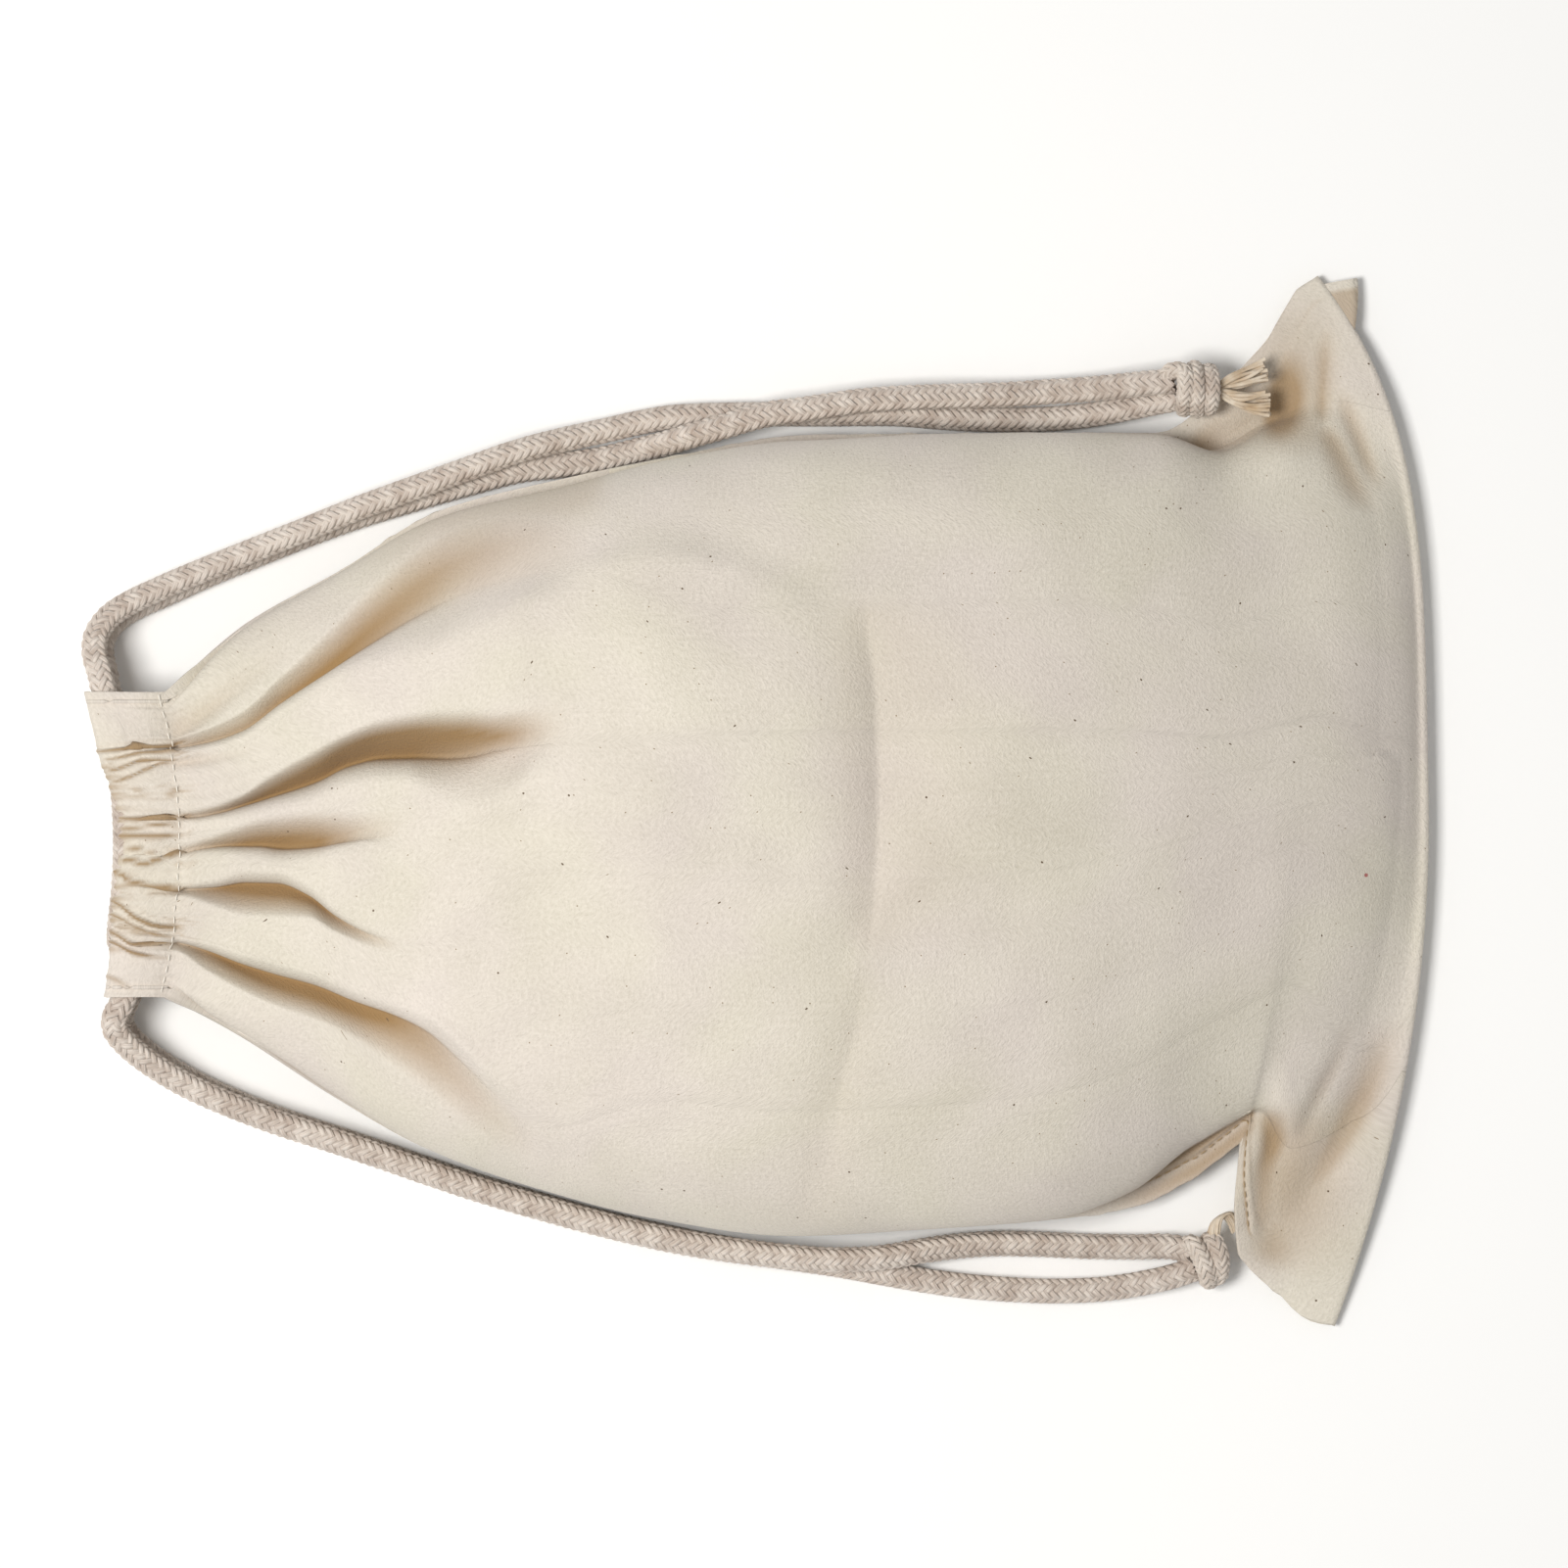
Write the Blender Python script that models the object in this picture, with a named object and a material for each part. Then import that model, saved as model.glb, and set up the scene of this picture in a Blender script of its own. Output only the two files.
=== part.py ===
"""A flat canvas drawstring bag, softly filled, lying on its back panel on a table.

Two canvas panels are sewn together along both sides and lie on each other along the bottom fold.
Each panel's top edge is turned down into a casing, a flat channel that both cords run through.
Each cord enters the two casings from its own side, turns back inside the far end, and its two
free strands lie down that side of the bag to an overhand knot with a frayed tail.

Metres, +Z up. The mouth looks along -X and the bottom fold along +X. The origin is on the table
under the middle of the bag's outline. Tables are in millimetres and are turned to metres at once.
"""

import math

import bmesh
import bpy
import numpy as np
from mathutils import Vector

MM = 0.001

# Driving dimensions, in millimetres.
CANVAS = 1.5  # thickness of one layer of canvas as built
CORD_DIAMETER = 8.0
LAYER_GAP = 2.1  # between the middles of the two layers of a seam flange
EAR_GAP = 1.2  # the ears' layers lie this much further apart
NARROW_EAR = 6.0  # a flange this wide is only a seam, and a wider one is an ear
TOUCH_GAP = 0.3  # clearance between two pieces that touch
RESTING_LAYER = CANVAS / 2  # middle of a layer that rests on the table
FRONT_CASING_TOP = 30.1  # middle of the front casing's upper layer
FRONT_CHANNEL_Z = 24.9  # centre of the cords in the front casing
BACK_CHANNEL_Z = 5.95  # centre of the cords in the back casing
MOUTH_CORD_INSET = 18.6  # from the stitch line to the cord beside the mouth edge
INNER_CORD_INSET = 9.9  # from the stitch line to the cord beside the stitches
HEM_LOW_Y = -31.0  # the turned-down hem stops short of both ends, where the cords turn back
HEM_HIGH_Y = 13.0
EXIT_STRAIGHT = 3.2  # how far a strand runs straight on where it leaves the casing
TIGHT_STEP = 7.5  # between a cord's points in its tight turns, and twice that elsewhere
TIGHT_POINTS = 9  # points of a free strand's tight turn beside the casing
SEAM_HEIGHT = 10.0  # folds die out between twice this height and the seam
FLOOR_SLOPE = 22.0  # width over which the back panel comes down to the table
ARCH_SHARE = 0.86  # of the front panel from its crest to one side, the share on the arch
CURL_SHARE = 0.93  # and the share up to the arch's root, past which the flange lies
KNOT_SIDES = 14
KNOT_RINGS = 15
KNOT_ROUNDNESS = 2.6  # 2 is an ellipsoid, and more is blunter at the ends
WRAP_DEPTH = 0.14  # the grooves between a knot's wraps, as a share of its radius
TAIL_HEAD = 2.0  # length of the flat head that a frayed tail's strands come out of
TAIL_FLATNESS = 0.45  # a frayed tail's height as a share of its width
TAIL_SPREAD = 0.42  # how far the outer strands fan out, as a share of the head's width
STRAND_INSET = 0.16  # a strand is thinner than its share of the head by this on each side
STRAND_STEPS = 3

# Cross-lines of the bag, from the casing's stitch line to the bottom fold.
# low_* is the end at the -Y side seam, high_* the end at the +Y side seam, mid_x the middle's x.
# crest_y and crest are the highest point of the front panel; full is how square its arch is.
# low_z and high_z are the seam's height. lift is how far above the seam the bag is widest.
# low_ear and high_ear are the flat width outside the arch's root: a narrow seam flange along the
# sides, and the whole ear at the corners. low_show and high_show are how much of it shows past
# the arch. low_droop and high_droop are how far the ears' tips hang below the seam's height.
# back_x moves the back panel's +Y end, and rest is the height of the back's middle.
CROSS_COLUMNS = (
    "low_x", "low_y", "high_x", "high_y", "mid_x", "crest_y", "crest", "full",
    "low_z", "high_z", "lift", "low_ear", "high_ear", "low_show", "high_show",
    "low_droop", "high_droop", "back_x", "rest",
)
CROSS_LINES = (
    (-181, -59.5, -181, 33.5, -174.5, -13, 25.4, 2.2, 24.35, 24.35, 0, 3, 3, 5, 5, 0, 0, 0, 5.45),
    (-160, -70.5, -157, 54.0, -156, -10, 39, 2.2, 12.5, 12.5, 7, 5, 5, 0.6, 0.8, 0, 0, 0, 0.75),
    (-130, -90.0, -128, 71.0, -128, -9, 55, 2.3, 10.5, 10.5, 10, 5, 5, 0.6, 1.0, 0, 0, 0, 0.75),
    (-100, -107.0, -98, 89.2, -98, -5, 70, 2.3, 9.8, 9.8, 12, 5, 6, 0.6, 2.5, 0, 0, 0, 0.75),
    (-66, -119.0, -62, 98.6, -64, 0, 82, 2.3, 9.8, 9.8, 13, 5, 6, 0.6, 3.0, 0, 0, 0, 0.75),
    (-30, -128.0, -26, 106.0, -28, 2, 88, 2.35, 9.8, 9.8, 14, 5, 6, 0.6, 1.5, 0, 0, 0, 0.75),
    (10, -133.0, 14, 112.5, 12, 2, 87, 2.4, 9.8, 9.8, 14, 5, 6, 0.6, 2.4, 0, 0, 0, 0.75),
    (50, -131.0, 54, 112.9, 52, 2, 81, 2.4, 10.0, 10.0, 14, 5, 5, 0.6, 0.8, 0, 0, 0, 0.75),
    (88, -128.5, 92, 113.2, 92, 4, 71, 2.3, 9.8, 9.8, 12, 5, 5, 0.8, 0.6, 0, 0, 0, 0.75),
    (113, -125.0, 122, 113.2, 122, 6, 60, 2.1, 9.5, 8.5, 9, 6, 6, 2.0, 0.8, 0, 0, 0, 0.75),
    (131, -117.0, 140, 125.5, 145, 8, 50, 1.9, 10.5, 8.0, 6, 7, 19, 5.0, 21.0, 0, 0.5, 0, 0.75),
    (147, -105.0, 150, 135.0, 162, 12, 42, 1.7, 13.0, 8.0, 3.5, 8, 29, 9.0, 31.5, 0, 1.5, 0, 0.75),
    (146, -121.0, 157, 143.0, 177, 14, 34, 1.55, 14.0, 8.0, 2, 26, 34, 28.5, 36.5, 0, 3.0, 0, 0.75),
    (147, -137.0, 161, 150.0, 189, 15, 26, 1.4, 12.0, 8.0, 1.5, 42, 40, 45.0, 43.0, 2.0, 4.0, 0, 0.75),
    (161, -150.5, 166, 158.0, 199, 10, 17.5, 1.3, 8.5, 8.0, 1, 55, 46, 58.0, 49.0, 4.0, 4.5, 5, 1.6),
    (176, -161.0, 171, 161.0, 204.4, 0, 9.3, 1.2, 8.0, 8.0, 0, 62, 52, 65.0, 55.0, 4.5, 4.5, 13, 6.7),
)

# Gathers that run out from the front casing. Each row is a place along x: the valley's +Y edge,
# its -Y edge, and its depth. The +Y side of a valley is steep and the -Y side is a soft slope.
GATHERS = {
    "beside the top lobe": (
        (-182, 18.0, 15.0, 1.0), (-158, 24.0, 21.0, 6.0), (-142, 34.5, 31.0, 7.0),
        (-124, 45.0, 41.0, 6.0), (-108, 52.0, 47.0, 3.5), (-85, 62.0, 54.0, 0.0),
    ),
    "deepest": (
        (-182, -5.0, -7.5, 1.0), (-153, 2.3, 0.0, 6.0), (-137, 10.0, 7.0, 11.0),
        (-124, 18.0, 11.0, 15.0), (-108, 23.4, 13.2, 18.0), (-92, 27.5, 14.0, 17.0),
        (-76, 29.0, 14.6, 11.0), (-62, 26.0, 16.0, 3.0), (-50, 24.0, 18.0, 0.0),
    ),
    "middle": (
        (-182, -13.5, -16.0, 1.0), (-164, -11.5, -13.7, 5.0), (-155, -8.3, -13.9, 7.0),
        (-137, -5.6, -13.7, 9.0), (-125, -3.4, -11.0, 5.5), (-112, -2.0, -8.0, 0.0),
    ),
    "below the middle": (
        (-182, -25.5, -28.0, 1.0), (-164, -26.0, -30.5, 5.0), (-150, -23.5, -33.3, 8.0),
        (-137, -26.6, -33.9, 9.0), (-124, -32.3, -38.0, 6.0), (-108, -40.0, -43.0, 0.0),
    ),
    "low side": (
        (-182, -41.5, -44.0, 1.0), (-164, -43.7, -49.5, 5.0), (-146, -51.0, -58.0, 8.0),
        (-125, -57.5, -67.5, 10.0), (-100, -68.0, -79.0, 6.0), (-78, -82.0, -97.0, 0.0),
    ),
}
STEEP_SIDE = 1.5
SOFT_SIDE = 4.0

# The crease across the filled body. Each row is a place along y: its +X edge, its -X edge, depth.
CROSS_CREASE = (
    (-132, 12, -2, 0.0), (-100, 20, 6, 1.5), (-60, 29, 18, 1.5), (-25, 35, 28, 2.0),
    (0, 35, 28, 3.5), (20, 35.5, 28, 4.0), (50, 35, 28, 3.0), (62, 34, 29, 0.0),
)
# The soft valley across the -Y corner ear, and the one that parts the +Y ear from the body.
EAR_CREASE = (
    (-128, 168, 158, 0.0), (-118, 175, 162, 3.0), (-104, 182, 168, 4.0),
    (-92, 190, 176, 3.0), (-80, 196, 184, 0.0),
)

# The front casing's section from the stitch line round the mouth edge to the end of its hem:
# distance from the stitch line, height.
FRONT_CASING = (
    (-5.0, 28.7), (-10.0, 30.0), (-15.5, 30.1), (-20.6, 29.9), (-23.4, 28.2), (-24.0, 25.4),
    (-23.8, 22.8), (-21.8, 20.5), (-18.0, 19.75), (-11.0, 19.75), (-6.5, 20.5), (-2.5, 22.6), (4.0, 23.0),
)
FULL_WIDTH_CASING_ROWS = 7  # rows as wide as the bag, and past them only the hem goes on

# Free strands, from the casing to the knot. The front strands leave the upper casing.
A_FRONT = (
    (-200.6, 38.0, 24.4), (-202.6, 44.0, 22.3), (-202.6, 50.5, 19.4), (-198.9, 56.5, 16.6),
    (-192.4, 61.0, 14.4), (-184.3, 64.9, 13.1), (-169.3, 71.3, 12.6), (-154.3, 77.3, 12.6),
    (-139.3, 83.2, 12.6), (-124.3, 89.3, 12.6), (-109.3, 94.8, 12.5), (-90.0, 101.7, 11.9),
    (-72.7, 107.8, 10.4), (-60.0, 111.2, 7.8), (-47.0, 114.2, 4.8), (-37.5, 116.4, 4.1),
    (-28.0, 118.1, 4.1), (-20.0, 118.7, 4.1), (-10.0, 119.0, 4.1), (4.0, 119.2, 4.1),
    (20.0, 119.2, 4.1), (43.6, 119.2, 4.1), (58.6, 118.0, 4.1), (73.6, 117.5, 4.1),
    (88.6, 117.7, 4.3), (103.6, 119.1, 5.8), (115.6, 121.2, 9.0), (124.2, 122.8, 12.0),
)
A_BACK = (
    (-200.4, 38.0, 5.6), (-202.0, 44.0, 4.7), (-201.8, 50.0, 4.15), (-198.0, 55.6, 4.1),
    (-191.6, 59.8, 4.1), (-183.6, 63.4, 4.1), (-168.8, 70.1, 4.1), (-153.8, 76.2, 4.1),
    (-138.8, 82.2, 4.1), (-123.8, 87.6, 4.1), (-108.8, 92.2, 4.1), (-90.0, 97.6, 4.1),
    (-72.7, 102.0, 4.1), (-60.0, 103.5, 4.1), (-47.0, 105.6, 4.1), (-37.5, 107.9, 4.4),
    (-28.0, 110.2, 7.8), (-20.0, 112.5, 10.8), (-10.0, 115.2, 12.2), (-3.0, 117.3, 12.7),
    (4.0, 119.0, 12.8), (12.0, 120.0, 12.8), (20.0, 121.2, 12.6), (31.0, 122.8, 12.0),
    (43.6, 123.8, 11.4), (56.0, 124.3, 10.3), (66.0, 124.6, 9.2), (76.0, 125.0, 8.1),
    (88.6, 125.9, 7.2), (103.6, 126.8, 10.2), (115.6, 127.8, 14.8), (121.2, 128.3, 17.0),
)
B_FRONT = (
    (-196.2, -64.4, 24.3), (-196.8, -69.0, 22.0), (-193.2, -74.2, 19.3), (-186.6, -79.8, 16.6),
    (-178.0, -85.4, 14.3), (-161.8, -93.0, 12.7), (-146.8, -98.6, 12.6), (-131.8, -103.4, 12.6),
    (-116.8, -108.4, 12.6), (-101.8, -113.6, 12.6), (-86.8, -118.6, 12.6), (-64.3, -125.2, 12.6),
    (-49.4, -129.2, 12.6), (-34.4, -132.8, 12.6), (-19.3, -135.8, 12.6), (-4.3, -138.0, 12.6),
    (10.7, -139.7, 12.6), (25.6, -140.5, 12.4), (37.6, -139.9, 11.4), (50.0, -138.0, 8.4),
    (62.0, -136.6, 5.2), (73.0, -136.0, 4.1), (85.6, -136.2, 4.1), (100.6, -136.8, 4.1),
    (115.6, -137.0, 5.0), (128.1, -136.6, 6.8),
)
B_BACK = (
    (-195.8, -64.4, 5.2), (-195.6, -69.2, 4.4), (-191.5, -74.4, 4.1), (-185.6, -79.2, 4.1),
    (-177.4, -84.4, 4.1), (-161.6, -92.2, 4.1), (-146.8, -98.0, 4.1), (-131.8, -103.0, 4.1),
    (-116.8, -108.0, 4.1), (-101.8, -113.2, 4.1), (-86.8, -118.2, 4.1), (-64.3, -124.9, 4.1),
    (-49.4, -129.0, 4.1), (-34.4, -132.6, 4.1), (-19.3, -135.8, 4.1), (-4.3, -138.4, 4.1),
    (10.7, -140.6, 4.1), (25.6, -142.8, 4.1), (37.6, -145.0, 4.1), (50.0, -147.2, 4.1),
    (63.0, -149.0, 4.1), (78.0, -150.2, 4.1), (93.0, -150.6, 4.1), (108.0, -149.8, 4.1),
    (118.0, -148.2, 4.6), (129.1, -145.4, 6.8),
)


def clear_scene():
    for thing in list(bpy.data.objects):
        bpy.data.objects.remove(thing)


def material(name, colour, roughness):
    made = bpy.data.materials.new(name)
    made.use_nodes = True
    shader = made.node_tree.nodes["Principled BSDF"]
    shader.inputs["Base Color"].default_value = (*colour, 1.0)
    shader.inputs["Roughness"].default_value = roughness
    shader.inputs["Metallic"].default_value = 0.0
    return made


def monotone(knots, values, at):
    """A smooth curve through the values that never swings past them, read at the given places."""
    knots = np.asarray(knots, float)
    values = np.asarray(values, float)
    step = np.diff(knots)
    rise = np.diff(values) / step
    slope = np.zeros(len(knots))
    same = rise[:-1] * rise[1:] > 0
    before = 2 * step[1:] + step[:-1]
    after = step[1:] + 2 * step[:-1]
    safe = np.where(same, rise[:-1], 1.0), np.where(same, rise[1:], 1.0)
    mean = (before + after) / (before / safe[0] + after / safe[1])
    slope[1:-1] = np.where(same, mean, 0.0)
    slope[0] = rise[0]
    slope[-1] = rise[-1]
    at = np.clip(np.asarray(at, float), knots[0], knots[-1])
    i = np.clip(np.searchsorted(knots, at, side="right") - 1, 0, len(step) - 1)
    t = (at - knots[i]) / step[i]
    square = t * t
    cube = square * t
    start = (2 * cube - 3 * square + 1) * values[i] + (cube - 2 * square + t) * step[i] * slope[i]
    end = (3 * square - 2 * cube) * values[i + 1] + (cube - square) * step[i] * slope[i + 1]
    return start + end


def cross_line(place):
    """The cross-line's columns at a place counted in lines from the stitch line."""
    knots = np.arange(len(CROSS_LINES))
    columns = zip(CROSS_COLUMNS, zip(*CROSS_LINES))
    line = {name: float(monotone(knots, column, place)) for name, column in columns}
    line["joined"] = min(place, 1.0)  # the side seam starts at the first line past the casing
    return line


def bow_power(place, side):
    """How squarely a cross-line bows between its ends: the +Y corner is squarer than the -Y one."""
    return np.where(side > 0, 2 + 2 * place / (len(CROSS_LINES) - 1), 2.0)


def plan_x(line, place, y, high_x):
    """x along a cross-line, which bows between its ends."""
    middle = (line["low_y"] + line["high_y"]) / 2
    half = (line["high_y"] - line["low_y"]) / 2
    across = np.clip((y - middle) / half, -1, 1)
    straight = line["low_x"] + (high_x - line["low_x"]) * (across + 1) / 2
    bow = line["mid_x"] - (line["low_x"] + high_x) / 2
    return straight + bow * (1 - np.abs(across) ** bow_power(place, across))


def trough(along, across, rows, steep, soft):
    """Depth of a valley at each point, from rows of place, far edge, near edge and depth."""
    place, far, near, depth = zip(*rows)
    middle = (monotone(place, far, along) + monotone(place, near, along)) / 2
    half = (monotone(place, far, along) - monotone(place, near, along)) / 2
    off = across - middle
    beyond = np.exp(-(np.abs(off) / (half + steep)) ** 4)
    below = np.exp(-(np.abs(off) / (half + soft)) ** 2)
    inside = (along > place[0]) & (along < place[-1])
    return np.where(inside, monotone(place, depth, along), 0.0) * np.where(off > 0, beyond, below)


def body_folds(x, y):
    """How far the front panel is pressed down at each point by its gathers and its cross crease."""
    depth = sum(trough(x, y, rows, STEEP_SIDE, SOFT_SIDE) for rows in GATHERS.values())
    return depth + trough(y, x, CROSS_CREASE, 3.0, 8.0)


def ear_fold(line, x, y):
    """How far both layers of the -Y ear are pressed down together, less where its seam lies low."""
    return trough(y, x, EAR_CREASE, 2.0, 4.0) * np.clip((line["low_z"] - 6) / 6, 0, 1)


def side_of(line, side):
    """One side's columns of a cross-line, without their prefix."""
    prefix = "high_" if side > 0 else "low_"
    return {name[len(prefix):]: value for name, value in line.items() if name.startswith(prefix)}


def half_gap(ear):
    """Half the distance between the two layers' middles outside the arch's root."""
    return (LAYER_GAP + EAR_GAP * np.clip((ear - NARROW_EAR) / 20, 0, 1)) / 2


def front_side(line, share, side):
    """y and z from the crest (share 0) to one side seam (share 1)."""
    end = side_of(line, side)
    outer, ear, show = end["y"], end["ear"], end["show"]
    seam = end["z"] + half_gap(ear)
    root = outer - side * ear
    wide = outer - side * show
    wide_z = seam + line["lift"]
    angle = math.pi / 2 * np.clip(share / ARCH_SHARE, 0, 1)
    power = 2 / line["full"]
    y = line["crest_y"] + (wide - line["crest_y"]) * np.sin(angle) ** min(power, 1.0)
    z = wide_z + (line["crest"] - wide_z) * np.clip(np.cos(angle), 0, 1) ** power
    curl = np.clip((share - ARCH_SHARE) / (CURL_SHARE - ARCH_SHARE), 0, 1)
    y = y + (root - wide) * (1 - np.cos(math.pi / 2 * curl))
    z = z - line["lift"] * curl
    flat = np.clip((share - CURL_SHARE) / (1 - CURL_SHARE), 0, 1)
    return y + (outer - root) * flat, z - end["droop"] * flat**2


def back_side(line, share, side):
    """y and z of the back panel from the middle (share 0) to one side seam (share 1)."""
    end = side_of(line, side)
    outer, ear = end["y"], end["ear"]
    seam = line["rest"] + (end["z"] - half_gap(ear) - line["rest"]) * line["joined"]
    y = line["crest_y"] + (outer - line["crest_y"]) * np.sin(math.pi / 2 * share)
    root = outer - side * ear
    climb = np.clip(1 - (root - y) * side / FLOOR_SLOPE, 0, 1)
    flat = np.clip((y - root) * side / ear, 0, 1)
    rise = (seam - line["rest"]) * climb**2 * (3 - 2 * climb)
    return y, line["rest"] + rise - end["droop"] * flat**2


def panel_row(place, columns, section, is_front):
    """One row of points across a panel, from the -Y seam to the +Y seam."""
    line = cross_line(place)
    t = np.linspace(-1, 1, columns + 1)
    low = section(line, -t[t < 0], -1)
    high = section(line, t[t >= 0], 1)
    y = np.concatenate([low[0], high[0]])
    z = np.concatenate([low[1], high[1]])
    x = plan_x(line, place, y, line["high_x"] + (0 if is_front else line["back_x"]))
    if is_front:
        z = z - body_folds(x, y) * np.clip((z - SEAM_HEIGHT) / SEAM_HEIGHT, 0, 1)
    z = np.maximum(z - ear_fold(line, x, y), RESTING_LAYER)
    return np.column_stack([x, y, z])


def casing_rows(stitch_row, is_front):
    """The casing round the mouth edge, from the row at the stitch line to the hem's end."""
    rows = []
    for distance, height in FRONT_CASING:
        row = stitch_row.copy()
        row[:, 0] += distance
        row[:, 2] = height if is_front else RESTING_LAYER + FRONT_CASING_TOP - height
        rows.append(row)
    return rows


def panel(name, steps, columns, section, is_front, finish):
    """A canvas panel as one sheet: the body, the casing and its hem."""
    places = [0.0]
    for line, count in enumerate(steps):
        places += [line + (i + 1) / count for i in range(count)]
    body = [panel_row(place, columns, section, is_front) for place in places]
    casing = casing_rows(body[0], is_front)
    rows = body[::-1] + casing
    full = len(body) + FULL_WIDTH_CASING_ROWS
    made = bmesh.new()
    grid = []
    for index, row in enumerate(rows):
        keep = np.ones(columns + 1, bool)
        if index >= full:
            keep = (row[:, 1] > HEM_LOW_Y) & (row[:, 1] < HEM_HIGH_Y)
        grid.append([made.verts.new(point * MM) if on else None for point, on in zip(row, keep)])
    for lower, upper in zip(grid, grid[1:]):
        for j in range(columns):
            corners = (lower[j], lower[j + 1], upper[j + 1], upper[j])
            if None not in corners:
                made.faces.new(corners)
    bmesh.ops.recalc_face_normals(made, faces=made.faces)
    mesh = bpy.data.meshes.new(name)
    made.to_mesh(mesh)
    made.free()
    mesh.shade_smooth()
    mesh.materials.append(finish)
    sheet = bpy.data.objects.new(name, mesh)
    bpy.context.collection.objects.link(sheet)
    wall = sheet.modifiers.new("canvas thickness", "SOLIDIFY")
    wall.thickness = CANVAS * MM
    wall.offset = 0.0
    return sheet


def smooth_route(points, spacing):
    """Points about a spacing apart on a smooth curve through the route's points."""
    points = np.asarray(points, float)
    reach = np.concatenate([[0], np.cumsum(np.linalg.norm(np.diff(points, axis=0), axis=1))])
    count = max(4, round(reach[-1] / spacing))
    at = np.linspace(0, reach[-1], 8 * count + 1)
    slope = np.gradient(points, reach, axis=0)
    i = np.clip(np.searchsorted(reach, at, side="right") - 1, 0, len(reach) - 2)
    step = (reach[i + 1] - reach[i])[:, None]
    t = (at - reach[i])[:, None] / step
    start = (2 * t**3 - 3 * t**2 + 1) * points[i] + (t**3 - 2 * t**2 + t) * step * slope[i]
    end = (3 * t**2 - 2 * t**3) * points[i + 1] + (t**3 - t**2) * step * slope[i + 1]
    return (start + end)[::8]


def cord(name, points, finish):
    """A cord's stretch as a tube with flat ends."""
    curve = bpy.data.curves.new(name, "CURVE")
    curve.dimensions = "3D"
    curve.bevel_depth = CORD_DIAMETER / 2 * MM
    curve.bevel_resolution = 2
    curve.use_fill_caps = True
    spline = curve.splines.new("POLY")
    spline.points.add(len(points) - 1)
    for target, point in zip(spline.points, points):
        target.co = (*(np.asarray(point) * MM), 1.0)
    curve.materials.append(finish)
    made = bpy.data.objects.new(name, curve)
    bpy.context.collection.objects.link(made)
    return made


def channel_x(y, inset):
    """A cord's x inside the casing, which bows with the stitch line."""
    line = cross_line(0)
    return float(plan_x(line, 0, np.asarray(float(y)), line["high_x"])) - inset


def turn_back(y, side, inset):
    """The half turn from the front casing down to the back casing inside its far end."""
    radius = (FRONT_CHANNEL_Z - BACK_CHANNEL_Z) / 2
    middle = (FRONT_CHANNEL_Z + BACK_CHANNEL_Z) / 2
    turn = []
    for angle in np.linspace(0, math.pi, 9):
        at = y + side * radius * math.sin(angle)
        turn.append((channel_x(at, inset), at, middle + radius * math.cos(angle)))
    return turn


def held_route(out, far):
    """A cord's route in the casings: in along the front, round the far end, out along the back."""
    front = [(x, y, FRONT_CHANNEL_Z) for x, y in out]
    back = [(x, y, BACK_CHANNEL_Z) for x, y in reversed(out)]
    return front + far + back


def free_route(end, before_end, rest):
    """A free strand that starts square to the end of the stretch in the casing, a hair's breadth off."""
    heading = (end - before_end) / np.linalg.norm(end - before_end)
    onward = smooth_route([end + heading * EXIT_STRAIGHT, *rest], TIGHT_STEP)
    straighter = [*onward[TIGHT_POINTS:-1:2], onward[-1]]
    return [end + heading * TOUCH_GAP, *onward[:TIGHT_POINTS], *straighter]


def knot(name, centre, length, width, height, wraps, lean, finish):
    """A pulled-tight overhand knot: a rounded body with the raised bands of its wraps."""
    made = bmesh.new()
    rings = []
    for i in range(1, KNOT_RINGS):
        along = math.cos(math.pi * i / KNOT_RINGS)
        girth = (1 - abs(along) ** KNOT_ROUNDNESS) ** (1 / KNOT_ROUNDNESS)
        ring = []
        for j in range(KNOT_SIDES):
            turn = 2 * math.pi * j / KNOT_SIDES
            band = math.pi * wraps * (along + 1) / 2 + lean * math.sin(turn)
            reach = girth * (1 - WRAP_DEPTH * (1 - abs(math.sin(band)) ** 0.7))
            ring.append(made.verts.new((
                (centre[0] + along * length / 2) * MM,
                (centre[1] + reach * width / 2 * math.cos(turn)) * MM,
                (centre[2] + reach * height / 2 * math.sin(turn)) * MM,
            )))
        rings.append(ring)
    for near, far in zip(rings, rings[1:]):
        for j in range(KNOT_SIDES):
            k = (j + 1) % KNOT_SIDES
            made.faces.new((near[j], near[k], far[k], far[j]))
    made.faces.new(rings[0])
    made.faces.new(rings[-1])
    bmesh.ops.recalc_face_normals(made, faces=made.faces)
    mesh = bpy.data.meshes.new(name)
    made.to_mesh(mesh)
    made.free()
    mesh.shade_smooth()
    mesh.materials.append(finish)
    body = bpy.data.objects.new(name, mesh)
    bpy.context.collection.objects.link(body)
    return body


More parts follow.
